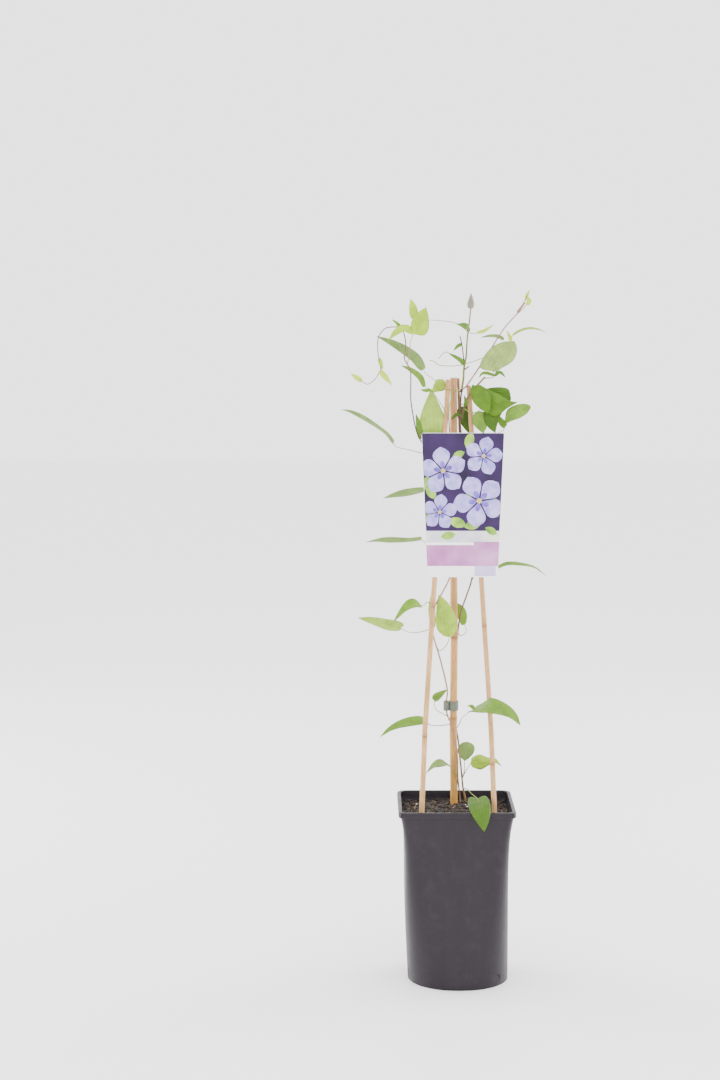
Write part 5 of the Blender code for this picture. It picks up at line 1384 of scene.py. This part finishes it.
run_tree(bud_down, hair_tree, Per_Square_Metre=HAIRS_PER_SQUARE_METRE, Length=HAIR_LENGTH * MM, Seed=4,
         Finish=silk)
piece(bud_down, "bud")

# %% [markdown]
# The clip is a small grey-green moulded band that snaps round the middle cane, with a side eye for the
# stem. Two short bars are joined into one and drilled, and a bevel softens the moulded edges. Modelling
# the band as a curved sheet would take more steps for the same shape.

# %% Plant clip
CLIP_HEIGHT = 11.0
CLIP_CENTRE_Z = 324.5
CLIP_WALL = 1.2
CLIP_GAP = 0.3
CLIP_SIDES = 40
CLIP_EYE_RADIUS = 2.4
CLIP_EYE_SIDES = 32
CLIP_EDGE = 0.25
CLIP_MOTTLE = 3.333
BORE_CLEAR = 5.0

clip_plastic = two_toned("moulded_clip_plastic", "#464e42", "#626a58", CLIP_MOTTLE, relief=(0.2, 0.0003),
                         Roughness=0.4, IOR=1.49)
spec = CANES["cane_middle"]
low = cane_point(spec, CLIP_CENTRE_Z - CLIP_HEIGHT / 2.0)
high = cane_point(spec, CLIP_CENTRE_Z + CLIP_HEIGHT / 2.0)
reach = (high - low).normalized() * BORE_CLEAR
eye = Vector(CLIP_EYE_OFFSET)
inner = spec[1] + CLIP_GAP
clip = new_object("clip_band", round_bar("band", low, high, inner + CLIP_WALL, CLIP_SIDES), clip_plastic)
side_bar = new_object("eye", round_bar("eye", low + eye, high + eye, CLIP_EYE_RADIUS + CLIP_WALL,
                                       CLIP_EYE_SIDES))
join = clip.modifiers.new("join", "BOOLEAN")
join.operation = "UNION"
join.object = side_bar
bake(clip)
bpy.data.objects.remove(side_bar, do_unlink=True)
drill(clip, [new_object("bore", round_bar("bore", low - reach, high + reach, inner, CLIP_SIDES)),
             new_object("hole", round_bar("hole", low + eye - reach, high + eye + reach, CLIP_EYE_RADIUS,
                                          CLIP_EYE_SIDES))])
edge_round = clip.modifiers.new("moulded edge", "BEVEL")
edge_round.width = CLIP_EDGE * MM
edge_round.segments = 2
edge_round.angle_limit = math.radians(50.0)
bake(clip)
piece(smooth(clip, angle=35.0), "clip_plastic", "clip")

# %% [markdown]
# The label is a stiff printed card of polypropylene film, a little wider at its head. Its picture here is
# a plain pattern of small five-petalled blossoms on deep purple with green leaves and a magenta band, drawn
# for this model. Each printed shape is a flat petal or leaf of ink laid on the card, so its edges stay sharp.

# %% Printed inks and film


def ink(name, dark, pale, width, detail=4.0):
    """A printed ink: two tones of one colour a little apart, under the film's even gloss."""
    return two_toned(name, dark, pale, width, detail, contrast=(0.35, 0.65), Roughness=0.35, IOR=1.49,
                     Specular_IOR_Level=0.25)


card_film = ink("white_card_film", "#f2f0f4", "#fbfafc", 33.33)
ground_ink = ink("deep_purple_ink", "#160a24", "#301b47", 35.71, 2.0)
mist_ink = ink("pale_mist_ink", "#b9b2da", "#dfe2d2", 25.0, 2.0)
petal_ink = ink("lilac_petal_ink", "#8f83cf", "#b7aee6", 9.091)
petal_heart_ink = ink("violet_petal_ink", "#5a45a6", "#7d6dc6", 6.25)
button_ink = ink("straw_button_ink", "#a8913a", "#cdbf72", 2.381)
leaf_ink = ink("leaf_green_ink", "#55851f", "#9cc04a", 14.286)
band_ink = ink("magenta_band_ink", "#a4569a", "#d3a0ca", 55.56, 3.0)
lilac_ink = ink("pale_lilac_ink", "#bda9dd", "#d3c4ea", 25.0)
print("card film and eight printed inks")

# %% Label card
LABEL_THICKNESS = 0.8
LABEL_TILT = math.radians(3.95)
LABEL_FOOT = (2.5, -24.4, 487)
LABEL_HEIGHT = 168.0
LABEL_FOOT_HALF = 40.8
LABEL_HEAD_HALF = 48.2
LABEL_CORNER = 3.0

card_right = Vector((1, 0, 0))
card_up = Vector((0, math.sin(LABEL_TILT), math.cos(LABEL_TILT)))
card_out = Vector((0, -math.cos(LABEL_TILT), math.sin(LABEL_TILT)))
card_turn = Matrix((card_right, card_up, card_out)).transposed().to_4x4()
card_place = Matrix.Translation(mm(LABEL_FOOT)) @ card_turn


def card_half(up):
    """Half the card's width at a height above its foot."""
    return LABEL_FOOT_HALF + (LABEL_HEAD_HALF - LABEL_FOOT_HALF) * up / LABEL_HEIGHT


def slab(name, outline, back, front, finish):
    """A flat closed shape on the card, between two distances in front of the card's middle."""
    shape = bmesh.new()
    lower = [shape.verts.new(mm((x, y, back))) for x, y in outline]
    upper = [shape.verts.new(mm((x, y, front))) for x, y in outline]
    shape.faces.new(upper)
    shape.faces.new(list(reversed(lower)))
    bridge(shape, lower, upper)
    bmesh.ops.recalc_face_normals(shape, faces=shape.faces)
    mesh = mesh_from(shape, name)
    mesh.transform(card_place)
    return new_object(name, mesh, finish)


def rounded(corners, radius, steps=6):
    """An outline with its corners rounded, anticlockwise."""
    outline = []
    for i, corner in enumerate(corners):
        corner, before = Vector(corner), Vector(corners[i - 1])
        after = Vector(corners[(i + 1) % len(corners)])
        start = corner + (before - corner).normalized() * radius
        end = corner + (after - corner).normalized() * radius
        for step in range(steps + 1):
            t = step / steps
            outline.append((start * (1 - t) ** 2 + corner * 2 * t * (1 - t) + end * t ** 2)[:])
    return outline


face = LABEL_THICKNESS / 2.0
card_outline = rounded([(-LABEL_FOOT_HALF, 0), (LABEL_FOOT_HALF, 0), (LABEL_HEAD_HALF, LABEL_HEIGHT),
                        (-LABEL_HEAD_HALF, LABEL_HEIGHT)], LABEL_CORNER)
piece(slab("label_sheet", card_outline, -face, face, card_film), "label_card", "label")

# %% Printed picture
INK = 0.03
PICTURE_FOOT = 41.0
PICTURE_MARGIN = 0.4
SHAPE_MARGIN = 0.8
MIST_HEIGHT = 13.0
BAND_FOOT = 13.0
BAND_HEAD = 37.5
PATCH_FOOT = 1.2
PETALS = 5
PETAL_PEAK = 0.64
PETAL_WIDTH = 0.36
HEART_LENGTH = 0.42
HEART_WIDTH = 0.1
BUTTON_RADIUS = 0.1
BUTTON_TURN = 24
LEAF_WIDTH = 0.27
# Layers of ink by which each shape stands over the one before it
BLOSSOM_LAYERS = 3
HEART_LAYERS = 0.4
BUTTON_LAYERS = 2.2
# Middle of each blossom, turn in degrees, length of a petal
BLOSSOMS = (((-23, 124), 25, 28.0), ((24, 141), 5, 23.0), ((19, 89), 44, 31.0), ((-27, 76), 12, 21.0))
# Foot of each leaf, turn in degrees, length
LEAVES = (((4, 150), 70, 20), ((2, 146), 205, 16), ((-40, 118), 250, 18), ((-42, 108), 300, 20),
          ((36, 92), 300, 18), ((40, 88), 235, 20), ((4, 60), 160, 22), ((2, 58), 20, 22),
          ((-34, 72), 200, 16), ((10, 104), 250, 14), ((40, 50), 150, 16), ((-8, 50), 190, 18))


def band(low, high, left=-1.0, right=1.0, inset=0.0, radius=0.3):
    """Part of the card between two heights, its ends given as shares of the card's half width."""
    corners = [(left * (card_half(low) - inset), low), (right * (card_half(low) - inset), low),
               (right * (card_half(high) - inset), high), (left * (card_half(high) - inset), high)]
    return rounded(corners, radius)


def petal_outline(place, angle, length, width, peak=0.5, steps=9):
    """A petal or leaf that starts at place and points along angle in degrees, widest at its peak."""
    along = Vector((math.cos(math.radians(angle)), math.sin(math.radians(angle))))
    side = Vector((-along.y, along.x))
    near = [Vector(place) + along * length * t + side * width * blade_width(t, peak)
            for t in (i / steps for i in range(steps))]
    far = [Vector(place) + along * length * t - side * width * blade_width(t, peak)
           for t in (i / steps for i in range(steps, 0, -1))]
    return [p[:] for p in reversed(near + far)]


def inside_picture(outline):
    """Holds each point of a printed shape inside the picture's edges."""
    held = []
    for x, y in outline:
        y = min(max(y, PICTURE_FOOT + PICTURE_MARGIN), LABEL_HEIGHT - SHAPE_MARGIN)
        limit = card_half(y) - SHAPE_MARGIN
        held.append((min(max(x, -limit), limit), y))
    return held


flat_print = (
    ("ground", band(PICTURE_FOOT, LABEL_HEIGHT - PICTURE_MARGIN, inset=PICTURE_MARGIN, radius=1.6), INK,
     ground_ink),
    ("mist", band(PICTURE_FOOT + 0.2, PICTURE_FOOT + MIST_HEIGHT, inset=0.5), 1.5 * INK, mist_ink),
    ("magenta", band(BAND_FOOT, BAND_HEAD), INK, band_ink),
    ("magenta end", band(BAND_HEAD, PICTURE_FOOT, 0.3, 1.0), INK, band_ink),
    ("lilac patch", band(PATCH_FOOT, BAND_FOOT, 0.34, 0.94), INK, lilac_ink),
)
printed = [slab(name, outline, face, face + height, finish) for name, outline, height, finish in flat_print]
level = face + 2.0 * INK
for place, angle, length in LEAVES:
    outline = inside_picture(petal_outline(place, angle, length, LEAF_WIDTH * length))
    printed.append(slab("printed leaf", outline, face, level, leaf_ink))
for number, (place, turn, length) in enumerate(BLOSSOMS):
    top = level + INK * (1 + BLOSSOM_LAYERS * number)
    for petal in range(PETALS):
        angle = turn + 360.0 * petal / PETALS
        lift = top + INK * (petal % 2)
        outline = inside_picture(petal_outline(place, angle, length, PETAL_WIDTH * length, PETAL_PEAK))
        printed.append(slab("petal", outline, face, lift, petal_ink))
        heart = inside_picture(petal_outline(place, angle, HEART_LENGTH * length, HEART_WIDTH * length,
                                             PETAL_PEAK))
        printed.append(slab("petal heart", heart, face, lift + HEART_LAYERS * INK, petal_heart_ink))
    button = [(place[0] + BUTTON_RADIUS * length * math.cos(math.radians(angle)),
               place[1] + BUTTON_RADIUS * length * math.sin(math.radians(angle)))
              for angle in range(0, 360, BUTTON_TURN)]
    printed.append(slab("button", inside_picture(button), face, top + BUTTON_LAYERS * INK, button_ink))
with bpy.context.temp_override(active_object=printed[0], selected_editable_objects=printed):
    bpy.ops.object.join()
printed[0].name = "label_print"
piece(printed[0], "label_card")

# %% [markdown]
# A clear strip of film holds the card to the two front canes. It is almost hidden, so its CAD solid stays
# and only gets a film finish.

# %% Clear strap
film = two_toned("clear_strap_film", "#c9c8cf", "#e9e8ee", 8.333, Roughness=0.2, IOR=1.49)
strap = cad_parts["label_strap"]
strap.data.materials.clear()
strap.data.materials.append(film)
print("strap finish on", strap.name)
